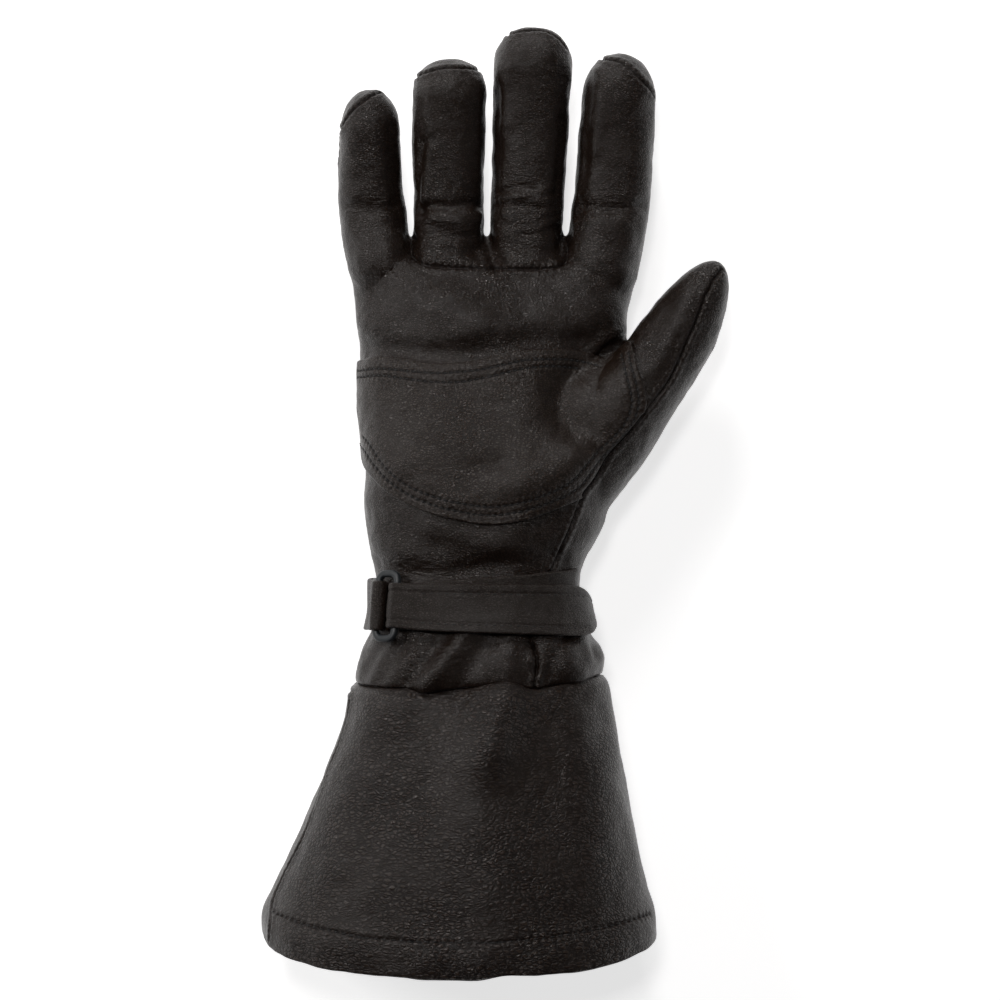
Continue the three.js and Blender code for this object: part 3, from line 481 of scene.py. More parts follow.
# How far the wrist seam strays from a straight line: place across, and distance towards the fingers.
# The leather on both sides of it follows over this reach, and not at all past this end.
WRIST_WAVE = [(-60.0, 1.1), (-53.0, 1.1), (-21.0, 0.5), (1.3, 2.3), (12.6, 0.8), (25.0, 2.8), (39.0, 4.8),
              (60.0, 5.0)]
WAVE_REACH = 14.0
WAVE_END = 40.0


def swayed(piece):
    """Lets the leather on both sides of the wrist seam follow the seam's slight waves."""
    places = places_of(piece)
    near = np.nonzero(np.abs(places[:, 1]) < WAVE_END)[0]
    for k in near:
        places[k, 1] += flowing(WRIST_WAVE, places[k, 0])[0] * np.exp(-(places[k, 1] / WAVE_REACH) ** 2)
    moved_to(piece, places)


# Below this height the leather lies flat on the table.
LIES_FLAT = 0.35
swayed(hand)
hand_tree = tree_of(hand)
folded(hand, hand_tree, HAND_FOLDS)
rumpled(hand, [(0.7, 26.0), (0.45, 10.0), (0.22, 4.5), (0.1, 2.4)])
tooled(hand, "SMOOTH", factor=0.5, iterations=1)
places = places_of(hand)
places[places[:, 2] < LIES_FLAT, 2] = 0.0
moved_to(hand, places)
hand_tree = tree_of(hand)

# Seams of the hand that show on the palm side, traced from the view.
THUMB_SEAM = [(533.7, 694), (536, 676), (537.5, 663), (534, 647), (529, 634), (534, 612), (546, 584),
              (560, 550), (568.7, 531.6), (575.5, 514), (583, 495), (595, 479), (608.5, 456),
              (628, 434.5), (643.5, 415), (657, 397.6), (670.7, 378), (680, 358.7), (689, 337),
              (693, 329), (697.4, 317.6), (701.9, 305.5), (706.3, 294.6), (709.8, 288.3), (713, 280.6),
              (717, 275.5), (721, 270)]
CROSS_SEAM = [(411, 243), (412, 254), (416.5, 260.6), (428, 265.4), (455, 267.7), (502, 268.8),
              (536, 269.2), (552, 268), (561, 266), (566, 262), (567, 250), (563, 234)]
LITTLE_TIP = [(380, 92.5), (373, 95), (366, 99.6), (353, 110), (345, 121), (339.5, 133), (338, 144),
              (337.5, 160)]
RING_TIP = [(415, 79), (420, 75), (428, 72), (439, 69), (453, 67.6), (466, 68), (477.5, 70.5), (484, 74)]
MIDDLE_TIP = [(500, 39), (506, 36), (512, 34), (520.6, 31.5), (527, 31), (533.6, 30.3), (541, 30.7),
              (549, 33), (558, 38.5), (566, 48)]
INDEX_TIP = [(597, 60), (603, 59.5), (615, 60.5), (626, 65.5), (635, 73), (643, 81.5), (650, 89), (654.5, 97)]
SEAMS = {"thumb": THUMB_SEAM, "cross": CROSS_SEAM, "little_tip": LITTLE_TIP, "ring_tip": RING_TIP,
         "middle_tip": MIDDLE_TIP, "index_tip": INDEX_TIP}
seam_lines = {name: traced(hand_tree, spots) for name, spots in SEAMS.items()}


def finer_beside(piece, lines, reach):
    """Gives the mesh smaller faces along some lines, where it needs them."""
    places = places_of(piece)
    fine = np.zeros(len(places), bool)
    for line in lines:
        fine[beside(places, line, reach)[0]] = True
    bm = bmesh.new()
    bm.from_mesh(piece.data)
    edges = {edge for face in bm.faces if any(fine[v.index] for v in face.verts) for edge in face.edges}
    bmesh.ops.subdivide_edges(bm, edges=list(edges), cuts=1, use_grid_fill=True)
    bm.to_mesh(piece.data)
    bm.free()
    piece.data.update()


# A pucker stands highest this far beside its seam and dies away over this reach, and past the last
# distance a seam isn't felt at all.
PUCKER_AWAY = 1.1
PUCKER_REACH = 0.7
SEAM_REACH = 6.0


def seamed(piece, lines, depth=0.75, width=0.55, shoulder=0.3, pucker=0.12, pitch=2.7):
    """Draws the leather in along seams, between two soft rolls that pucker from stitch to stitch."""
    places, facing = places_of(piece), facing_of(piece)
    rise = np.zeros(len(places))
    for line in lines:
        near, away, run = beside(places, line, SEAM_REACH)
        beat = np.cos(2 * pi * run / pitch)
        puckers = pucker * beat * np.exp(-((away - PUCKER_AWAY) / PUCKER_REACH) ** 2)
        rolls = shoulder * np.exp(-((away - 1.6) / 1.1) ** 2)
        rise[near] += puckers + rolls - depth * np.exp(-(away / width) ** 2)
    moved_to(piece, places + facing * rise[:, None])


# The bare form stays for the patch, which is laid over it.
bare_hand = copied(hand, "bare_hand")

# The hollow of the hand: the same form drawn in by the leather, open at the wrist.
hollow = copied(hand, "hand_hollow")
moved_to(hollow, places_of(hollow) - facing_of(hollow) * LEATHER)
bm = bmesh.new()
bm.from_mesh(hollow.data)
wrist_row = flowing(HAND_ROWS, 0.0)
drawn_skin(bm, [[oval(wrist_row, y, a, -LEATHER) for a in turn(ROUND_SIDES)]
                for y in (-6.0, -3.0, 0.0, 4.0)])
bmesh.ops.recalc_face_normals(bm, faces=bm.faces)
bm.to_mesh(hollow.data)
bm.free()
tooled(hollow, "REMESH", mode="VOXEL", voxel_size=HOLLOW_VOXEL)
tooled(hollow, "SMOOTH", factor=0.5, iterations=4)
places = places_of(hollow)
places[:, 2] = np.maximum(places[:, 2], LEATHER * 0.8)
moved_to(hollow, places)

finer_beside(hand, seam_lines.values(), 2.8)
finer_beside(hand, seam_lines.values(), 1.4)
seamed(hand, seam_lines.values())
places = places_of(hand)
places[:, 2] = np.maximum(places[:, 2], 0.0)
moved_to(hand, places)


def cut(piece, tool, way):
    return tooled(piece, "BOOLEAN", operation=way, object=tool, solver="MANIFOLD")


cut(hand, hollow, "DIFFERENCE")


def block(name, outline, depth):
    """A block: an outline of places pushed along a vector."""
    bm = bmesh.new()
    face = bm.faces.new([bmesh.ops.create_vert(bm, co=place)["vert"][0] for place in outline])
    pushed = bmesh.ops.extrude_face_region(bm, geom=[face])["geom"]
    bmesh.ops.translate(bm, verts=[v for v in pushed if isinstance(v, bmesh.types.BMVert)], vec=depth)
    bmesh.ops.recalc_face_normals(bm, faces=bm.faces)
    return as_object(name, bm)


def grown(outline, grow):
    """An outline of (x, y) corners moved outwards."""
    corners = [Vector(p[:2]) for p in outline]
    area = sum(a.cross(b) for a, b in zip(corners, corners[1:] + corners[:1]))
    side = 1 if area > 0 else -1
    moved = []
    for before, here, after in zip(corners[-1:] + corners[:-1], corners, corners[1:] + corners[:1]):
        way = (here - before).normalized() + (after - here).normalized()
        way = way.normalized() if way.length > 1e-6 else Vector((1, 0))
        moved.append(here + Vector((way.y, -way.x)) * side * grow)
    return moved


# Wide and high enough to clear the whole glove.
ASIDE = 90.0
OVERHEAD = 150.0
PAST_TIPS = 250.0
PAST_WRIST = -10.0


def above_hand_seam(grow):
    """The space above the side seams of the hand and of the fingers, which curl up a little."""
    line = []
    for y in np.linspace(PAST_WRIST, 150.0, 41):
        _, _, low, high = flowing(HAND_ROWS, max(y, 0.0))
        line.append((y, low + SIDE_SEAM * (high - low)))
    line += [(y, 17.5 + 0.0024 * (y - 153) ** 2) for y in np.linspace(156.0, PAST_TIPS, 24)]
    outline = [(-ASIDE, y, z - grow) for y, z in line]
    outline += [(-ASIDE, PAST_TIPS, OVERHEAD), (-ASIDE, PAST_WRIST, OVERHEAD)]
    return block("above_hand_seam", outline, (2 * ASIDE, 0.0, 0.0))


def above_thumb_seam(grow):
    """The space above the thumb's middle line, which rises to its tip."""
    finger = FINGERS["thumb"]
    aside = Vector((cos(radians(finger[1])), -sin(radians(finger[1])), 0.0))
    line = [spine(finger, u)[0] for u in np.linspace(0.0, 1.0, 12)]
    outline = [p - aside * ASIDE / 2 - Vector((0, 0, grow)) for p in line]
    outline += [Vector((p.x, p.y, OVERHEAD)) for p in (outline[-1], outline[0])]
    return block("above_thumb_seam", outline, aside * ASIDE)


def panel_space(spots, above, grow):
    """The space that a front panel fills: over its outline in the view, and above the side seams."""
    outline = [(p.x, p.y) for p in sighted(hand_tree, spots)]
    space = block("panel_space", [(p.x, p.y, -20.0) for p in grown(outline, grow)], (0.0, 0.0, 180.0))
    roof = above(grow)
    cut(space, roof, "INTERSECT")
    scrap(roof)
    return space


# Where the panels end, in the view: along the seams, under the patch and between the fingers.
THUMB_SEAM_FORK = 415
THUMB_FRONT_SIDE = [(643.5, THUMB_SEAM_FORK), (633, 400), (626, 370), (620, 346)]
INDEX_THUMB_GAP = [(632, 326), (646, 306), (668, 276), (700, 225)]
seam_spots = smooth_spots(THUMB_SEAM)
seam_low = [p for p in seam_spots if p[1] >= THUMB_SEAM_FORK]
seam_high = [p for p in seam_spots if p[1] <= THUMB_SEAM_FORK]
cross_spots = smooth_spots(CROSS_SEAM)
LITTLE_RING_GAP = [(409, 232), (408, 215), (406, 130), (401, 40)]
MIDDLE_INDEX_GAP = [(563.5, 222), (567, 180), (573, 130), (583, 30)]
PALM_OUTLINE = ([(300, 740)] + [(533.7, 740)] + seam_low + THUMB_FRONT_SIDE[1:] + INDEX_THUMB_GAP[:2]
                + [(700, 225), (700, 110)] + smooth_spots(INDEX_TIP)[::-1] + [(590, 58), (583, 50)]
                + MIDDLE_INDEX_GAP[::-1][1:] + cross_spots[::-1] + LITTLE_RING_GAP[:3] + [(401, 100)]
                + smooth_spots(LITTLE_TIP) + [(300, 165)])
MIDDLE_OUTLINE = (cross_spots + MIDDLE_INDEX_GAP[:3] + [(576, 60)] + smooth_spots(MIDDLE_TIP)[::-1]
                  + [(492, 50), (490, 80)] + smooth_spots(RING_TIP)[::-1] + [(408, 90)]
                  + LITTLE_RING_GAP[:3][::-1])
THUMB_OUTLINE = seam_high + [(728, 262)] + INDEX_THUMB_GAP[::-1] + THUMB_FRONT_SIDE[::-1]


# Deerskin: a soft hide, tanned right through and dyed brown-black. Its grain is a net of shallow
# pebbles about a millimetre across, pulled longer one way, with fine creases between them. It takes
# a broad soft shine where it is stretched and wrinkles finely where it bends.

# Sizes in mm: the sway that pulls its net out of line, its pores, its patches of dye, its ripples.
SWAY = 2.63158
PORE = 0.238095
DYE_PATCH = 23.8095
RIPPLE = 3.84615
# Sizes as shares of a pebble: the finer net inside it, and the lumps that make pebbles uneven.
FINE_NET = 0.434783
LUMP = 1.612903


def deerskin(name, crease_shade, flat, pebble, grain, rough, pitch, long=(0.75, 1.2, 1.0)):
    """A hide: its colour in the creases of its grain, darkened there as painted shade, and its colour on top,
    the size of its pebbles and the pitch of its stitches in mm, the strength of its grain, its roughness, and
    how its pebbles are pulled."""
    hide = bpy.data.materials.new(name)
    hide.use_nodes = True
    tree = hide.node_tree
    tree.nodes.clear()
    spot = add(tree, "ShaderNodeTexCoord").outputs["Object"]
    scaled = add(tree, "ShaderNodeMapping", {"Vector": spot, "Scale": long}).outputs["Vector"]
    sway = add(tree, "ShaderNodeTexNoise", {"Vector": scaled, "Scale": per_metre(SWAY),
                                            "Detail": 2.0}).outputs["Color"]
    shake = add(tree, "ShaderNodeVectorMath", {0: sway, 1: (0.5, 0.5, 0.5)}, operation="SUBTRACT").outputs[0]
    shift = add(tree, "ShaderNodeVectorMath", {0: shake, "Scale": 0.0016}, operation="SCALE").outputs[0]
    warped = add(tree, "ShaderNodeVectorMath", {0: scaled, 1: shift}).outputs[0]
    net = add(tree, "ShaderNodeTexVoronoi", {"Vector": warped, "Scale": per_metre(pebble)},
              feature="DISTANCE_TO_EDGE").outputs["Distance"]
    domed = add(tree, "ShaderNodeMapRange", {"Value": net, "From Max": 0.32},
                interpolation_type="SMOOTHSTEP").outputs[0]
    fine = add(tree, "ShaderNodeTexVoronoi", {"Vector": warped, "Scale": per_metre(pebble * FINE_NET)},
               feature="DISTANCE_TO_EDGE").outputs["Distance"]
    fine_domed = add(tree, "ShaderNodeMapRange", {"Value": fine, "From Max": 0.3},
                     interpolation_type="SMOOTHSTEP").outputs[0]
    pores = add(tree, "ShaderNodeTexNoise", {"Vector": spot, "Scale": per_metre(PORE),
                                             "Detail": 3.0}).outputs["Fac"]
    patchy = add(tree, "ShaderNodeTexNoise", {"Vector": spot, "Scale": per_metre(DYE_PATCH),
                                              "Detail": 3.0}).outputs["Fac"]
    bold = add(tree, "ShaderNodeMapRange", {"Value": patchy, "From Min": 0.35, "From Max": 0.65,
                                            "To Min": 0.5, "To Max": 1.15}).outputs[0]
    big = add(tree, "ShaderNodeMath", {0: domed, 1: bold}, operation="MULTIPLY").outputs[0]
    lump = add(tree, "ShaderNodeTexNoise", {"Vector": scaled, "Scale": per_metre(pebble * LUMP),
                                            "Detail": 1.0}).outputs["Fac"]
    lumpy = add(tree, "ShaderNodeMath", {0: lump, 1: 1.1, 2: big}, operation="MULTIPLY_ADD").outputs[0]
    both = add(tree, "ShaderNodeMath", {0: fine_domed, 1: 0.3, 2: lumpy}, operation="MULTIPLY_ADD").outputs[0]
    height = add(tree, "ShaderNodeMath", {0: pores, 1: 0.2, 2: both}, operation="MULTIPLY_ADD").outputs[0]
    grained = add(tree, "ShaderNodeBump", {"Height": height, "Strength": grain,
                                           "Distance": 0.00022}).outputs["Normal"]
    # fine wrinkles: thin creases that run across the hide, strong where it bends
    streak = add(tree, "ShaderNodeMapping", {"Vector": spot, "Scale": (0.4, 1.5, 1.0)}).outputs["Vector"]
    ripple = add(tree, "ShaderNodeTexNoise", {"Vector": streak, "Scale": per_metre(RIPPLE), "Detail": 3.0,
                                              "Roughness": 0.55}).outputs["Fac"]
    centred = add(tree, "ShaderNodeMath", {0: ripple, 1: 0.5}, operation="SUBTRACT").outputs[0]
    ridged = add(tree, "ShaderNodeMath", {0: centred}, operation="ABSOLUTE").outputs[0]
    bent = add(tree, "ShaderNodeAttribute", attribute_name="bent").outputs["Fac"]
    strong = add(tree, "ShaderNodeMapRange", {"Value": bent, "To Min": 0.2, "To Max": 1.5}).outputs[0]
    wrinkle = add(tree, "ShaderNodeMath", {0: ridged, 1: strong}, operation="MULTIPLY").outputs[0]
    wrinkled = add(tree, "ShaderNodeBump", {"Height": wrinkle, "Strength": 0.6, "Distance": 0.0016,
                                            "Normal": grained}).outputs["Normal"]
    # a seam: puckers beside it, and painted shade in the holes of its stitches
    gap = add(tree, "ShaderNodeAttribute", attribute_name="seam_gap").outputs["Fac"]
    run = add(tree, "ShaderNodeAttribute", attribute_name="seam_run").outputs["Fac"]
    beat = add(tree, "ShaderNodeMath", {0: run, 1: 2 * pi / pitch}, operation="MULTIPLY").outputs[0]
    wave = add(tree, "ShaderNodeMath", {0: beat}, operation="SINE").outputs[0]
    inner = add(tree, "ShaderNodeMapRange", {"Value": gap, "From Min": 0.3, "From Max": 1.0},
                interpolation_type="SMOOTHSTEP").outputs[0]
    outer = add(tree, "ShaderNodeMapRange", {"Value": gap, "From Min": 0.9, "From Max": 3.2,
                                             "To Min": 1.0, "To Max": 0.0},
                interpolation_type="SMOOTHSTEP").outputs[0]
    band = add(tree, "ShaderNodeMath", {0: inner, 1: outer}, operation="MULTIPLY").outputs[0]
    pucker = add(tree, "ShaderNodeMath", {0: wave, 1: band}, operation="MULTIPLY").outputs[0]
    normal = add(tree, "ShaderNodeBump", {"Height": pucker, "Strength": 0.4, "Distance": 0.0002,
                                          "Normal": wrinkled}).outputs["Normal"]
    # painted shade: the leather is darkened in dashes where the stitch holes lie along each seam
    near = add(tree, "ShaderNodeMapRange", {"Value": gap, "From Min": 0.3, "From Max": 0.75,
                                            "To Min": 1.0, "To Max": 0.0},
               interpolation_type="SMOOTHSTEP").outputs[0]
    dash = add(tree, "ShaderNodeMapRange", {"Value": wave, "From Min": -0.6, "From Max": 0.0},
               interpolation_type="SMOOTHSTEP").outputs[0]
    hole = add(tree, "ShaderNodeMath", {0: near, 1: dash}, operation="MULTIPLY").outputs[0]
    open_shade = add(tree, "ShaderNodeMapRange", {"Value": hole, "To Min": 1.0, "To Max": 0.12}).outputs[0]
    # the colour: painted shade, darker in the creases where the net is deep, mottled at random, and painted
    # shade darkest in the stitch holes
    net_depth = add(tree, "ShaderNodeMapRange", {"Value": bold, "From Min": 0.5, "From Max": 1.15,
                                                 "To Min": 0.4, "To Max": 0.0}).outputs[0]
    evened = add(tree, "ShaderNodeMath", {0: domed, 1: net_depth}, operation="MAXIMUM").outputs[0]
    hide_colour_with_crease_shade = add(tree, "ShaderNodeMixRGB", {"Fac": evened, "Color1": linear(crease_shade),
                                         "Color2": linear(flat)}).outputs["Color"]
    mottle = add(tree, "ShaderNodeMapRange", {"Value": patchy, "From Min": 0.3, "From Max": 0.7,
                                              "To Min": 0.85, "To Max": 1.15}).outputs[0]
    shade = add(tree, "ShaderNodeMixRGB", {"Fac": 1.0, "Color1": hide_colour_with_crease_shade, "Color2": mottle},
                blend_type="MULTIPLY").outputs["Color"]
    colour = add(tree, "ShaderNodeMixRGB", {"Fac": 1.0, "Color1": shade, "Color2": open_shade},
                 blend_type="MULTIPLY").outputs["Color"]
    # the shine: smoother on top of the grain, dull in the creases and in the holes
    worn = add(tree, "ShaderNodeMapRange", {"Value": height, "From Min": 0.4, "From Max": 2.2,
                                            "To Min": rough + 0.12, "To Max": rough - 0.03}).outputs[0]
    matt = add(tree, "ShaderNodeMath", {0: hole, 1: 0.4, 2: worn}, operation="MULTIPLY_ADD").outputs[0]
    gloss = add(tree, "ShaderNodeMapRange", {"Value": evened, "To Min": 0.26, "To Max": 0.52}).outputs[0]
    skin = add(tree, "ShaderNodeBsdfPrincipled", {"Base Color": colour, "Roughness": matt, "IOR": 1.5,
                                                  "Normal": normal, "Specular IOR Level": gloss})
    add(tree, "ShaderNodeOutputMaterial", {"Surface": skin.outputs["BSDF"]})
    return hide


def marked(piece, lines, bends=()):
    """Notes on the mesh, for its leather: how far off the closest seam is and how far along it
    each place lies, in mm, and how much the leather bends there."""
    places = places_of(piece)
    gap = np.full(len(places), SEAM_REACH)
    run = np.zeros(len(places))
    bent = np.zeros(len(places))
    for line in lines:
        near, away, along = beside(places, line, SEAM_REACH)
        closer = away < gap[near]
        gap[near[closer]] = away[closer]
        run[near[closer]] = along[closer]
    for reach, line in bends:
        near, away, _ = beside(places, line, reach * 2)
        bent[near] = np.maximum(bent[near], np.exp(-(away / reach) ** 2))
    for name, values in (("seam_gap", gap), ("seam_run", run), ("bent", bent)):
        piece.data.attributes.new(name, "FLOAT", "POINT").data.foreach_set("value", values)


def finished(piece, material, node):
    """Gives a piece its material and lays it in the glove's place."""
    piece.data.materials.clear()
    piece.data.materials.append(material)
    piece.data.transform(TO_TABLE)
    for face in piece.data.polygons:
        face.use_smooth = True
    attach(piece, "root")
    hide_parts(node)


# The hide's first colour is painted shade for the creases of its grain.
HAND_LEATHER = deerskin("deerskin_of_the_hand", "#100a07", "#271a11", pebble=0.95, grain=0.55, rough=0.26,
                        pitch=2.7)
# Where the hand bends its leather: reach in mm, and a line down the middle of each place.
BENDS = [
    (7.0, [(430, 222), (455, 240), (475, 225)]),
    (8.0, [(515, 190), (535, 215), (525, 245)]),
    (6.0, [(590, 205), (635, 205)]),
    (5.0, [(350, 207), (392, 207)]),
    (5.0, [(385, 565), (450, 570)]),
    (6.0, [(400, 665), (460, 655)]),
    (4.0, [(596, 352), (620, 330)]),
]
bend_lines = [(reach, traced(hand_tree, spots)) for reach, spots in BENDS]


def front_panel(name, outline, above, node):
    """One front panel of the hand: what its space cuts out of the leather."""
    panel = copied(hand, name)
    space = panel_space(outline, above, 0.0)
    cut(panel, space, "INTERSECT")
    scrap(space)
    marked(panel, seam_lines.values(), bend_lines)
    finished(panel, HAND_LEATHER, node)


# The palm panel: one piece of deerskin for the palm, the fronts of the little and the first finger,
# and the gathered wrist. Its edges are turned in and sewn to the panels around it.
front_panel("palm_leather", PALM_OUTLINE, above_hand_seam, "palm_panel")

# The front of the two middle fingers: a piece of its own, turned in at its edges and set in along
# the cross seam.
front_panel("middle_fingers_leather", MIDDLE_OUTLINE, above_hand_seam, "middle_fingers_front")

# The front of the thumb: a leaf of the same deerskin, sewn in between the thumb seam and the side
# towards the hand.
front_panel("thumb_leather", THUMB_OUTLINE, above_thumb_seam, "thumb_front")

# The back panel: the back of the hand, of the fingers and of the thumb in one piece, wrapped round
# the thumb side up to the thumb seam, where the front panels are sewn to it.
CUT_GAP = 0.02
back_panel = hand
back_panel.name = "back_leather"
for outline, above in ((PALM_OUTLINE, above_hand_seam), (MIDDLE_OUTLINE, above_hand_seam),
                       (THUMB_OUTLINE, above_thumb_seam)):
    cutter = panel_space(outline, above, CUT_GAP)
    cut(back_panel, cutter, "DIFFERENCE")
    scrap(cutter)
marked(back_panel, seam_lines.values(), bend_lines)
finished(back_panel, HAND_LEATHER, "back_panel")
scrap(hollow)


# The patch: a second layer of deerskin over the middle of the palm and the root of the thumb. Its
# cut edges are left plain and two rows of thread along each edge hold it down.
PATCH_LEATHER = 1.3
PATCH_GAP = 0.3
PATCH_VOXEL = 0.43
# The patch is cut from the leather above this height.
PATCH_FOOT = 22.0
PATCH_TOP = [(345, 361), (356, 361), (378, 356), (405, 358), (422, 362), (436, 363.5), (455, 362.5),
             (474, 360), (502, 354), (531, 349), (560, 349), (585, 352), (600, 357), (607, 359),
             (612, 354), (620, 347), (629, 341.5)]
PATCH_SIDE = [(631, 343), (634, 353.6), (637.7, 368), (642, 380), (645, 391), (646.6, 403), (644.5, 413)]
PATCH_BOTTOM = [(583, 498), (569.6, 504), (550, 512), (522, 521), (491, 525), (455, 520), (428, 513),
                (405, 503), (388, 493), (374, 480), (364, 466), (359, 452), (350, 446)]
# Between its side and its bottom edge the patch runs just inside the thumb seam.
patch_seam = [(x - 1.5, y - 1) for x, y in seam_spots[::-1] if PATCH_SIDE[-1][1] < y < PATCH_BOTTOM[0][1] - 1]
patch_edge = smooth_spots(PATCH_TOP) + smooth_spots(PATCH_SIDE) + patch_seam + smooth_spots(PATCH_BOTTOM)


def offset_copy(piece, name, grow):
    twin = copied(piece, name)
    moved_to(twin, places_of(piece) + facing_of(piece) * grow)
    return twin


patch = offset_copy(bare_hand, "patch_leather", PATCH_GAP + PATCH_LEATHER)
under_patch = offset_copy(bare_hand, "under_patch", PATCH_GAP)
patch_outline = [(p.x, p.y, PATCH_FOOT) for p in sighted(hand_tree, patch_edge)]
patch_space = block("patch_space", patch_outline, (0.0, 0.0, 100.0))
cut(patch, patch_space, "INTERSECT")
cut(patch, under_patch, "DIFFERENCE")
scrap(under_patch, patch_space, bare_hand)
tooled(patch, "REMESH", mode="VOXEL", voxel_size=PATCH_VOXEL)
tooled(patch, "SMOOTH", factor=0.5, iterations=3)
patch_tree = tree_of(patch)
# Rows of stitches: the outer one about 3.5 mm and the inner one about 6 mm from the edge.
STITCH_ROWS = [
    [(357, 371), (378, 368.5), (405, 370.5), (436, 373), (474, 370.5), (504, 364.5), (531, 359.5),
     (560, 359), (585, 362), (600, 366)],
    [(357, 377.5), (378, 375.5), (405, 378.5), (436, 382), (455, 382), (489, 376.5), (522, 369),
     (550, 366), (580, 368.5)],
    [(628, 352), (631, 366), (635, 379), (638, 391), (639, 402), (637, 413), (632, 425), (622, 438),
     (608, 452), (593, 470), (583, 484), (570, 494), (550, 503), (522, 511.5), (491, 515.5), (455, 511),
     (428, 503.5), (405, 493), (388, 481), (374, 466), (365, 452), (358, 443)],
    [(621, 354), (624.5, 368), (628, 381), (631, 393), (632, 403), (630, 413), (625, 424), (615, 436),
     (601, 449), (586, 466), (576, 478), (564, 487), (546, 495), (522, 503), (491, 507), (455, 502.5),
     (428, 495), (405, 484.5), (390, 473), (378, 459), (370, 446), (362, 436)],
]
patch_rows = [traced(patch_tree, spots, 4.0) for spots in STITCH_ROWS]


def stitched_down(piece, rows, depth=0.3, width=0.6, pitch=2.4, pucker=0.05):
    """Draws leather down along rows of stitches, deepest under each stitch."""
    places, facing = places_of(piece), facing_of(piece)
    rise = np.zeros(len(places))
    for row in rows:
        near, away, run = beside(places, row, 3.0)
        beat = np.cos(2 * pi * run / pitch)
        rise[near] -= (depth + pucker * beat) * np.exp(-(away / width) ** 2)
        rise[near] += 0.5 * pucker * (1 - beat) * np.exp(-((away - PUCKER_AWAY) / PUCKER_REACH) ** 2)
    rise *= np.clip(facing[:, 2] * 3.0, 0.0, 1.0)
    moved_to(piece, places + facing * rise[:, None])


stitched_down(patch, patch_rows)
marked(patch, patch_rows)
patch_under = copied(patch, "patch_under_threads")
# The hide's first colour is painted shade for the creases of its grain.
PATCH_HIDE = deerskin("deerskin_of_the_patch", "#130c08", "#2b1e14", pebble=0.95, grain=0.55, rough=0.27,
                      pitch=2.4)
finished(patch, PATCH_HIDE, "palm_patch")


def nylon(name, dark, light, speck, detail, depth, rough):
    """Nylon, dyed through: its two tones, the size of its specks in mm and how fine they break up,
    how deep they are, and its roughness."""
    plastic = bpy.data.materials.new(name)
    plastic.use_nodes = True
    tree = plastic.node_tree
    tree.nodes.clear()
    spot = add(tree, "ShaderNodeTexCoord").outputs["Object"]
    specks = add(tree, "ShaderNodeTexNoise", {"Vector": spot, "Scale": per_metre(speck),
                                              "Detail": detail}).outputs["Fac"]
    shade = add(tree, "ShaderNodeMixRGB", {"Fac": specks, "Color1": linear(dark),
                                           "Color2": linear(light)}).outputs["Color"]
    bump = add(tree, "ShaderNodeBump", {"Height": specks, "Strength": depth,
                                        "Distance": 0.0001}).outputs["Normal"]
    skin = add(tree, "ShaderNodeBsdfPrincipled", {"Base Color": shade, "Roughness": rough, "Normal": bump})
    add(tree, "ShaderNodeOutputMaterial", {"Surface": skin.outputs["BSDF"]})
    return plastic


# Nylon thread, bonded and dyed black: hard, smooth and a little shiny, with the bumps of its twist.
THREAD = nylon("bonded_nylon_thread", "#0b0a0a", "#1d1b1b", speck=0.166667, detail=2.0, depth=0.5, rough=0.5)


# How deep a stitch lies in its leather and how far its ends dip, as shares of its thickness, and how
# far its middle is lifted clear, in mm.
STITCH_SINK = 0.12
STITCH_DIP = 0.22
STITCH_LIFT = 0.1


def threaded(name, rows, host, pitch=2.4, length=1.9, thick=0.6):
    """Lays the visible stitches of some rows as short rounded threads that dip in at both ends."""
    host_tree = tree_of(host)
    bm = bmesh.new()
    for row in rows:
        row = [Vector(p) for p in row]
        run = 0.0
        ahead = pitch / 2
        for a, b in zip(row, row[1:]):
            span = (b - a).length
            while span > 1e-6 and ahead <= run + span:
                middle = a.lerp(b, (ahead - run) / span)
                along = (b - a).normalized()
                spot, facing, _, _ = host_tree.find_nearest(middle)
                across = facing.cross(along).normalized()
                along = across.cross(facing)
                stitch = bmesh.ops.create_icosphere(bm, subdivisions=1, radius=0.5)["verts"]
                for vert in stitch:
                    x, y, z = vert.co * 2
                    rise = -STITCH_SINK - STITCH_DIP * x * x
                    vert.co = (spot + along * (x * length / 2) + across * (y * thick / 2)
                               + facing * (z * thick / 2 + rise * thick + STITCH_LIFT))
                ahead += pitch
            run += span
    return as_object(name, bm)


patch_threads = threaded("patch_stitches", patch_rows, patch_under)
scrap(patch_under)
finished(patch_threads, THREAD, "palm_patch")


# The loop: a rounded rectangle of grey nylon, moulded in one, that lies on the left shoulder of the
# wrist. The tab holds its outer bar and the strap turns back round its inner bar.
STRAP_LEATHER = 1.8
TAB_LEATHER = 1.4
LOOP_BAR = 2.3
LOOP_WIDTH = 10.8
LOOP_LENGTH = 26.0
LOOP_CORNER = 2.9
LOOP_LIFT = 3.55
LOOP_HEIGHT = 30.5
LOOP_PLACE = 0.225
# The bars are flattened a little, and thicker across the ends of the loop than along its sides.
BAR_ROUND = 0.6
END_THICKER = 0.12
CORNER_STEPS = 8


def wrist_surface(place, y):
    """The wrist's surface: place runs over the palm side from its left edge to its right one."""
    row = flowing(HAND_ROWS, y)
    angle = pi * (1 - place)
    tangent = (oval(row, y, angle - 0.02) - oval(row, y, angle + 0.02)).normalized()
    return oval(row, y, angle), tangent, Vector((-tangent.z, 0.0, tangent.x))


def on_wrist(place, y, lift):
    point, _, normal = wrist_surface(place, y)
    return point + normal * lift


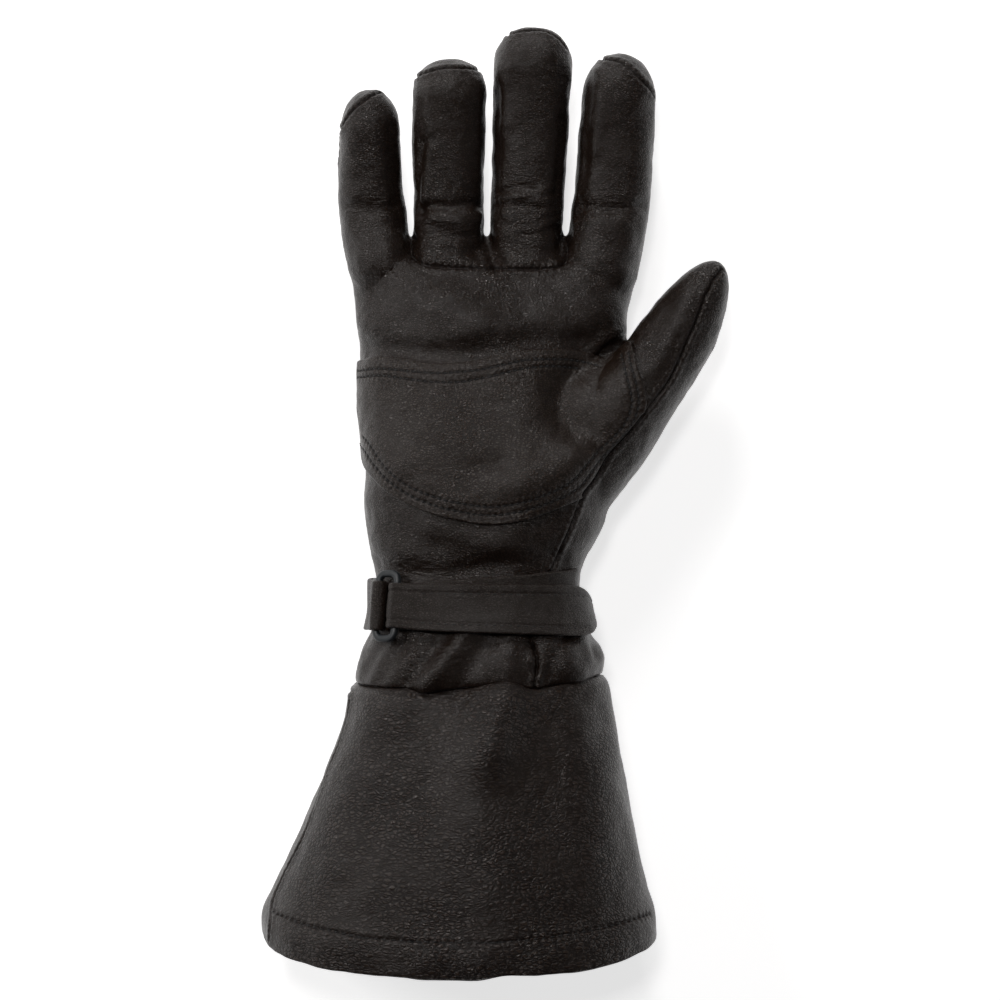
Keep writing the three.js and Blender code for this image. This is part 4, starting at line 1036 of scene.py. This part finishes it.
loop_reach = (LOOP_LENGTH - LOOP_BAR) / 2
loop_ends = [on_wrist(LOOP_PLACE, LOOP_HEIGHT + end * loop_reach, LOOP_LIFT) for end in (-1, 1)]
loop_centre = loop_ends[0].lerp(loop_ends[1], 0.5)
loop_long = (loop_ends[1] - loop_ends[0]).normalized()
loop_across = wrist_surface(LOOP_PLACE, LOOP_HEIGHT)[1]
loop_across = (loop_across - loop_long * loop_across.dot(loop_long)).normalized()
loop_up = loop_across.cross(loop_long)


def on_loop(across, along, up):
    return loop_centre + loop_across * across + loop_long * along + loop_up * up


half_across = (LOOP_WIDTH - LOOP_BAR) / 2
rings = []
for x, y, start in ((1, 1, 0), (-1, 1, 90), (-1, -1, 180), (1, -1, 270)):
    for step in range(CORNER_STEPS + 1):
        angle = radians(start + 90 * step / CORNER_STEPS)
        outward = (cos(angle), sin(angle))
        half_bar = LOOP_BAR / 2 * (1 + END_THICKER * abs(sin(angle)))
        centre = (x * (half_across - LOOP_CORNER) + LOOP_CORNER * outward[0],
                  y * (loop_reach - LOOP_CORNER) + LOOP_CORNER * outward[1])
        rings.append([on_loop(centre[0] + outward[0] * half_bar * power(cos(a), BAR_ROUND),
                              centre[1] + outward[1] * half_bar * power(cos(a), BAR_ROUND),
                              LOOP_BAR / 2 * power(sin(a), BAR_ROUND)) for a in turn(24)])
bm = bmesh.new()
drawn_skin(bm, rings, closed=True)
bmesh.ops.recalc_face_normals(bm, faces=bm.faces)
loop = as_object("loop_of_nylon", bm)
# Nylon, moulded and dyed through: a cool grey with a faint moulded grain and a soft shine.
LOOP_NYLON = nylon("moulded_nylon", "#1e2124", "#292e31", speck=0.666667, detail=3.0, depth=0.25, rough=0.42)
finished(loop, LOOP_NYLON, "strap_loop")


# The tab and the strap: strips of the same leather, cut and left plain at their edges. Each one
# starts against the wrist, turns round a bar of the loop and comes back over itself, and the strap
# has a row of thread along each edge.
LAYER_GAP = 0.3
# How far a strip swells in its middle, and how deep and wide its thread draws it in.
BELLY = 0.25
THREAD_DRAW = 0.32
THREAD_REACH = 0.55


def strip_profile(width, leather, rows):
    """The section of a strip: (across, up) places, rounded at its edges and drawn in at its stitches."""
    half = width / 2
    edge = leather / 2
    spread = [-half + edge * (1 - cos(pi / 2 * k / 5)) for k in range(6)]
    spread += [-half + edge + (width - 2 * edge) * k / 56 for k in range(1, 56)]
    spread += [-x for x in spread[5::-1]]

    def rise(x):
        inside = min(max((half - abs(x)) / edge, 0.0), 1.0)
        plain = edge * sqrt(1 - (1 - inside) ** 2)
        drawn = sum(THREAD_DRAW * np.exp(-((abs(x) - (half - row)) / THREAD_REACH) ** 2) for row in rows)
        return plain + (BELLY * (1 - (x / half) ** 4) - drawn) * inside

    top = [(x, rise(x)) for x in spread]
    return top + [(x, -0.9 * up if abs(x) > half - edge else -edge) for x, up in top[-2:0:-1]]


def folded_strip(name, side, leather, width, under, over, under_y, over_y, rows):
    """A strip of leather folded round one bar of the loop. Its side is 1 for the loop's right bar
    and -1 for the left one. Its tables give its width, as a share, at places over the wrist."""
    bar = side * (LOOP_WIDTH - LOOP_BAR) / 2
    turn_reach = LOOP_BAR / 2 + LAYER_GAP + leather / 2
    under_lift = LAYER_GAP + leather / 2
    over_lift = under_lift + leather + LAYER_GAP
    profile = strip_profile(width, leather, rows)
    rings = []
    for step, thin in [(0.0, 0.35), (0.004, 0.75), (0.01, 1.0)] + [(k / 44, 1.0) for k in range(1, 45)]:
        place = under[0][0] + (under[-1][0] - under[0][0]) * step
        wide = float(flowing(sorted(under), place)[0])
        y = under_y + (LOOP_HEIGHT - under_y) * step
        rings.append([on_wrist(place, y + x * wide, under_lift - up * thin) for x, up in profile])
    for step in range(1, 15):
        angle = radians(-90 + 210 * step / 15)
        rings.append([on_loop(bar - side * (turn_reach + up) * cos(angle), x * over[0][1],
                              (turn_reach + up) * sin(angle)) for x, up in profile])
    steps = [(k / 60, 1.0) for k in range(60)] + [(0.992, 0.85), (0.997, 0.6), (1.0, 0.3)]
    for step, thin in steps:
        place = over[0][0] + (over[-1][0] - over[0][0]) * step
        wide = float(flowing(sorted(over), place)[0])
        y = LOOP_HEIGHT + (over_y - LOOP_HEIGHT) * step
        rings.append([on_wrist(place, y + x * wide, over_lift + up * thin) for x, up in profile])
    bm = bmesh.new()
    drawn_skin(bm, rings)
    bmesh.ops.recalc_face_normals(bm, faces=bm.faces)
    return as_object(name, bm)


STRAP_UNDER = [(0.865, 1.0), (0.78, 1.0), (0.69, 1.0), (0.6, 0.99), (0.51, 0.98), (0.42, 0.96), (0.325, 0.93)]
STRAP_OVER = [(0.325, 0.92), (0.42, 0.96), (0.51, 0.98), (0.6, 1.0), (0.69, 1.02), (0.78, 1.04),
              (0.83, 1.02), (0.87, 0.94), (0.91, 0.83), (0.95, 0.69), (0.98, 0.55), (1.0, 0.42)]
STRAP_START = 35.0
STRAP_END = 28.2
STRAP_WIDTH = 18.0
TAB_WIDTH = 18.2
# The strap's rows of thread: how far off its middle, and a height over the wrist that is above it.
STRAP_STITCH_ROW = 5.6
STRAP_TOP = 5.0
TAB_UNDER = [(-0.12, 1.04), (-0.05, 1.04), (0.0, 1.03), (0.05, 1.02), (0.125, 1.0)]
TAB_OVER = [(0.09, 1.0), (0.045, 1.02), (0.0, 1.03), (-0.05, 1.04), (-0.15, 1.04)]
# The hide's first colour is painted shade for the creases of its grain.
STRAP_HIDE = deerskin("deerskin_of_the_strap", "#160f0a", "#251a12", pebble=0.8, grain=0.6, rough=0.36,
                      pitch=2.6)

tab = folded_strip("tab_leather", -1, TAB_LEATHER, TAB_WIDTH, TAB_UNDER, TAB_OVER, LOOP_HEIGHT,
                   LOOP_HEIGHT, [])
marked(tab, [])
finished(tab, STRAP_HIDE, "loop_tab")
strap = folded_strip("strap_leather", 1, STRAP_LEATHER, STRAP_WIDTH, STRAP_UNDER, STRAP_OVER,
                     STRAP_START, STRAP_END, [STRAP_WIDTH / 2 - STRAP_STITCH_ROW])
rumpled(strap, [(0.35, 11.0), (0.15, 4.0)])
strap_rows = []
for side in (1, -1):
    row = []
    for step in np.linspace(0.03, 0.84, 60):
        place = STRAP_OVER[0][0] + (STRAP_OVER[-1][0] - STRAP_OVER[0][0]) * step
        y = LOOP_HEIGHT + (STRAP_END - LOOP_HEIGHT) * step
        away = side * STRAP_STITCH_ROW * float(flowing(STRAP_OVER, place)[0])
        row.append(on_wrist(place, y + away, STRAP_TOP))
    strap_rows.append(row)
strap_threads = threaded("strap_stitches", strap_rows, strap, pitch=2.9, length=2.0, thick=0.5)
finished(strap_threads, THREAD, "wrist_strap")
marked(strap, [])
finished(strap, STRAP_HIDE, "wrist_strap")


# The cuff: a wide flared tube of thicker, coarser deerskin in two panels, sewn along its two sides
# and to the gathers of the wrist. Its hem is turned in and held by a row of thread.
CUFF_LEATHER = 1.8
HEM_FOLD = 1.3
HEM_WIDTH = 14.0
CUFF_LENGTH = 90.0
CUFF_SIDES = 300
# Sections: distance below the wrist seam, left and right edge, lowest, highest, sag of front and back.
CUFF_ROWS = [
    (0.3, -51.8, 39.3, 3.4, 55.2, 0.0),
    (2.7, -53.6, 41.0, 2.0, 57.6, 0.8),
    (11.2, -56.2, 43.3, 0.0, 60.6, 2.0),
    (26.1, -61.2, 46.4, -3.0, 63.6, 3.8),
    (41.0, -67.3, 48.8, -5.2, 66.6, 5.4),
    (55.8, -74.0, 51.5, -5.9, 69.6, 7.0),
    (72.0, -81.8, 54.9, -5.9, 72.5, 8.6),
    (83.7, -86.1, 58.4, -5.9, 74.7, 9.6),
    (CUFF_LENGTH, -85.8, 58.7, -5.2, 74.7, 10.0),
]


def cuff_ring(down, inward):
    """A section of the cuff at a distance down from the wrist seam and in from the outer side."""
    row = flowing(CUFF_ROWS, down)
    points = []
    for angle in turn(CUFF_SIDES):
        point = oval(row, 0.0, angle, -inward)
        point.y = -down - row[4] * abs(sin(angle))
        points.append(point)
    return points


# The cuff's top edge is turned in under the hand's lower edge, where the seam holds it: its outer and
# its inner side, as distances down and in.
OUTER_TUCK = [(-2.6, 2.0), (-1.2, 1.95), (0.1, 1.9)]
INNER_TUCK = [(1.5, 2.6), (0.0, 3.1), (-2.6, 3.1)]
outside = [cuff_ring(down, inward) for down, inward in OUTER_TUCK]
outside += [cuff_ring(d, 0.0) for d in [0.3, 0.6, 1.0, 1.5, 2.1] + list(np.linspace(2.7, 89.4, 110))]
half_hem = (CUFF_LEATHER + HEM_FOLD) / 2
hem_top = CUFF_LENGTH - HEM_WIDTH
edge = [cuff_ring(CUFF_LENGTH - 0.7 * (1 - sin(a)), half_hem * (1 - cos(a)))
        for a in np.linspace(0.5, pi - 0.5, 9)]
inside = [cuff_ring(d, CUFF_LEATHER + HEM_FOLD) for d in np.linspace(CUFF_LENGTH - 0.8, hem_top, 12)]
inside += [cuff_ring(d, CUFF_LEATHER) for d in np.linspace(hem_top - 0.7, 3.0, 36)]
inside += [cuff_ring(down, inward) for down, inward in INNER_TUCK]
bm = bmesh.new()
drawn_skin(bm, outside + edge + inside, closed=True)
bmesh.ops.recalc_face_normals(bm, faces=bm.faces)
cuff = as_object("cuff_form", bm)
swayed(cuff)
cuff_tree = tree_of(cuff)
HEM_STITCHES = [(270, 911), (282.5, 916), (304, 924.6), (337, 932), (363, 937.5), (423.5, 942),
                (480, 943), (537, 939), (580, 932.5), (623.5, 922.5), (649.6, 914)]
hem_row = traced(cuff_tree, HEM_STITCHES, 4.0)

# The side seam on the little-finger side lies a little inside the cuff's outline.
CUFF_SEAM = [(352, 684), (350, 698), (340, 736), (329, 771), (315.5, 810), (300.5, 842), (284.5, 872.6),
             (271.5, 905), (268, 940)]
# Past the cuff on every side, for the blocks that part its two panels.
CUFF_ASIDE = 120.0
ABOVE_WRIST = 8.0
PAST_HEM = -118.0


def cuff_front_space(grow):
    """The space of the cuff's front panel: above its side seams, and right of the one that shows."""
    top = CUFF_ROWS[0][0]
    line = [(ABOVE_WRIST, flowing(CUFF_ROWS, top))]
    line += [(-d, flowing(CUFF_ROWS, d)) for d in np.linspace(top, CUFF_LENGTH, 30)]
    line.append((PAST_HEM, flowing(CUFF_ROWS, CUFF_LENGTH)))
    outline = [(-CUFF_ASIDE, y, row[2] + SIDE_SEAM * (row[3] - row[2]) - grow) for y, row in line]
    outline += [(-CUFF_ASIDE, PAST_HEM, OVERHEAD), (-CUFF_ASIDE, ABOVE_WRIST, OVERHEAD)]
    upper = block("above_cuff_seam", outline, (2 * CUFF_ASIDE, 0.0, 0.0))
    seam = [(p.x - grow, p.y) for p in sighted(cuff_tree, CUFF_SEAM)]
    around = [(seam[0][0], ABOVE_WRIST)] + seam + [(seam[-1][0], PAST_HEM)]
    around += [(CUFF_ASIDE, PAST_HEM), (CUFF_ASIDE, ABOVE_WRIST)]
    right = block("right_of_seam", [(x, y, -30.0) for x, y in around], (0.0, 0.0, 200.0))
    cut(right, upper, "INTERSECT")
    scrap(upper)
    return right


# Folds and swellings of the cuff: depth and reach in mm, and the line of each in the view.
CUFF_FOLDS = [
    (-2.4, 7.0, [(510, 690), (497, 725), (484, 765)]),
    (-2.2, 13.0, [(490, 750), (474, 800), (480, 900)]),
    (1.8, 10.0, [(440, 700), (425, 750), (415, 800)]),
    (1.3, 13.0, [(385, 760), (375, 830)]),
    (-1.2, 9.0, [(352, 780), (330, 860)]),
    (0.9, 9.0, [(545, 700), (545, 760), (552, 820)]),
    (-1.0, 10.0, [(590, 760), (604, 860)]),
    (-0.8, 8.0, [(400, 700), (380, 720)]),
    (0.9, 6.0, [(585, 700), (600, 730)]),
    (-1.6, 7.0, [(430, 965), (480, 968)]),
]
folded(cuff, cuff_tree, CUFF_FOLDS)
rumpled(cuff, [(0.9, 30.0), (0.5, 12.0), (0.2, 5.0)])
cuff_seam = traced(cuff_tree, CUFF_SEAM)
finer_beside(cuff, [hem_row, cuff_seam], 2.4)
HEM_PITCH = 3.0
stitched_down(cuff, [hem_row], depth=0.55, width=0.8, pitch=HEM_PITCH, pucker=0.2)
seamed(cuff, [cuff_seam], depth=0.7, width=0.7)
hem_threads = threaded("hem_stitches", [hem_row], cuff, pitch=HEM_PITCH)
finished(hem_threads, THREAD, "cuff_front")
# The hide's first colour is painted shade for the creases of its grain.
CUFF_HIDE = deerskin("deerskin_of_the_cuff", "#0e0806", "#281b12", pebble=1.35, grain=0.85, rough=0.28,
                     pitch=2.8, long=(0.6, 1.2, 1.0))
cuff_front = copied(cuff, "cuff_front_leather")
space = cuff_front_space(0.0)
cut(cuff_front, space, "INTERSECT")
marked(cuff_front, [hem_row, cuff_seam])
finished(cuff_front, CUFF_HIDE, "cuff_front")
cuff_back = cuff
cuff_back.name = "cuff_back_leather"
lowered = cuff_front_space(CUT_GAP)
cut(cuff_back, lowered, "DIFFERENCE")
scrap(space, lowered)
marked(cuff_back, [cuff_seam])
finished(cuff_back, CUFF_HIDE, "cuff_back")
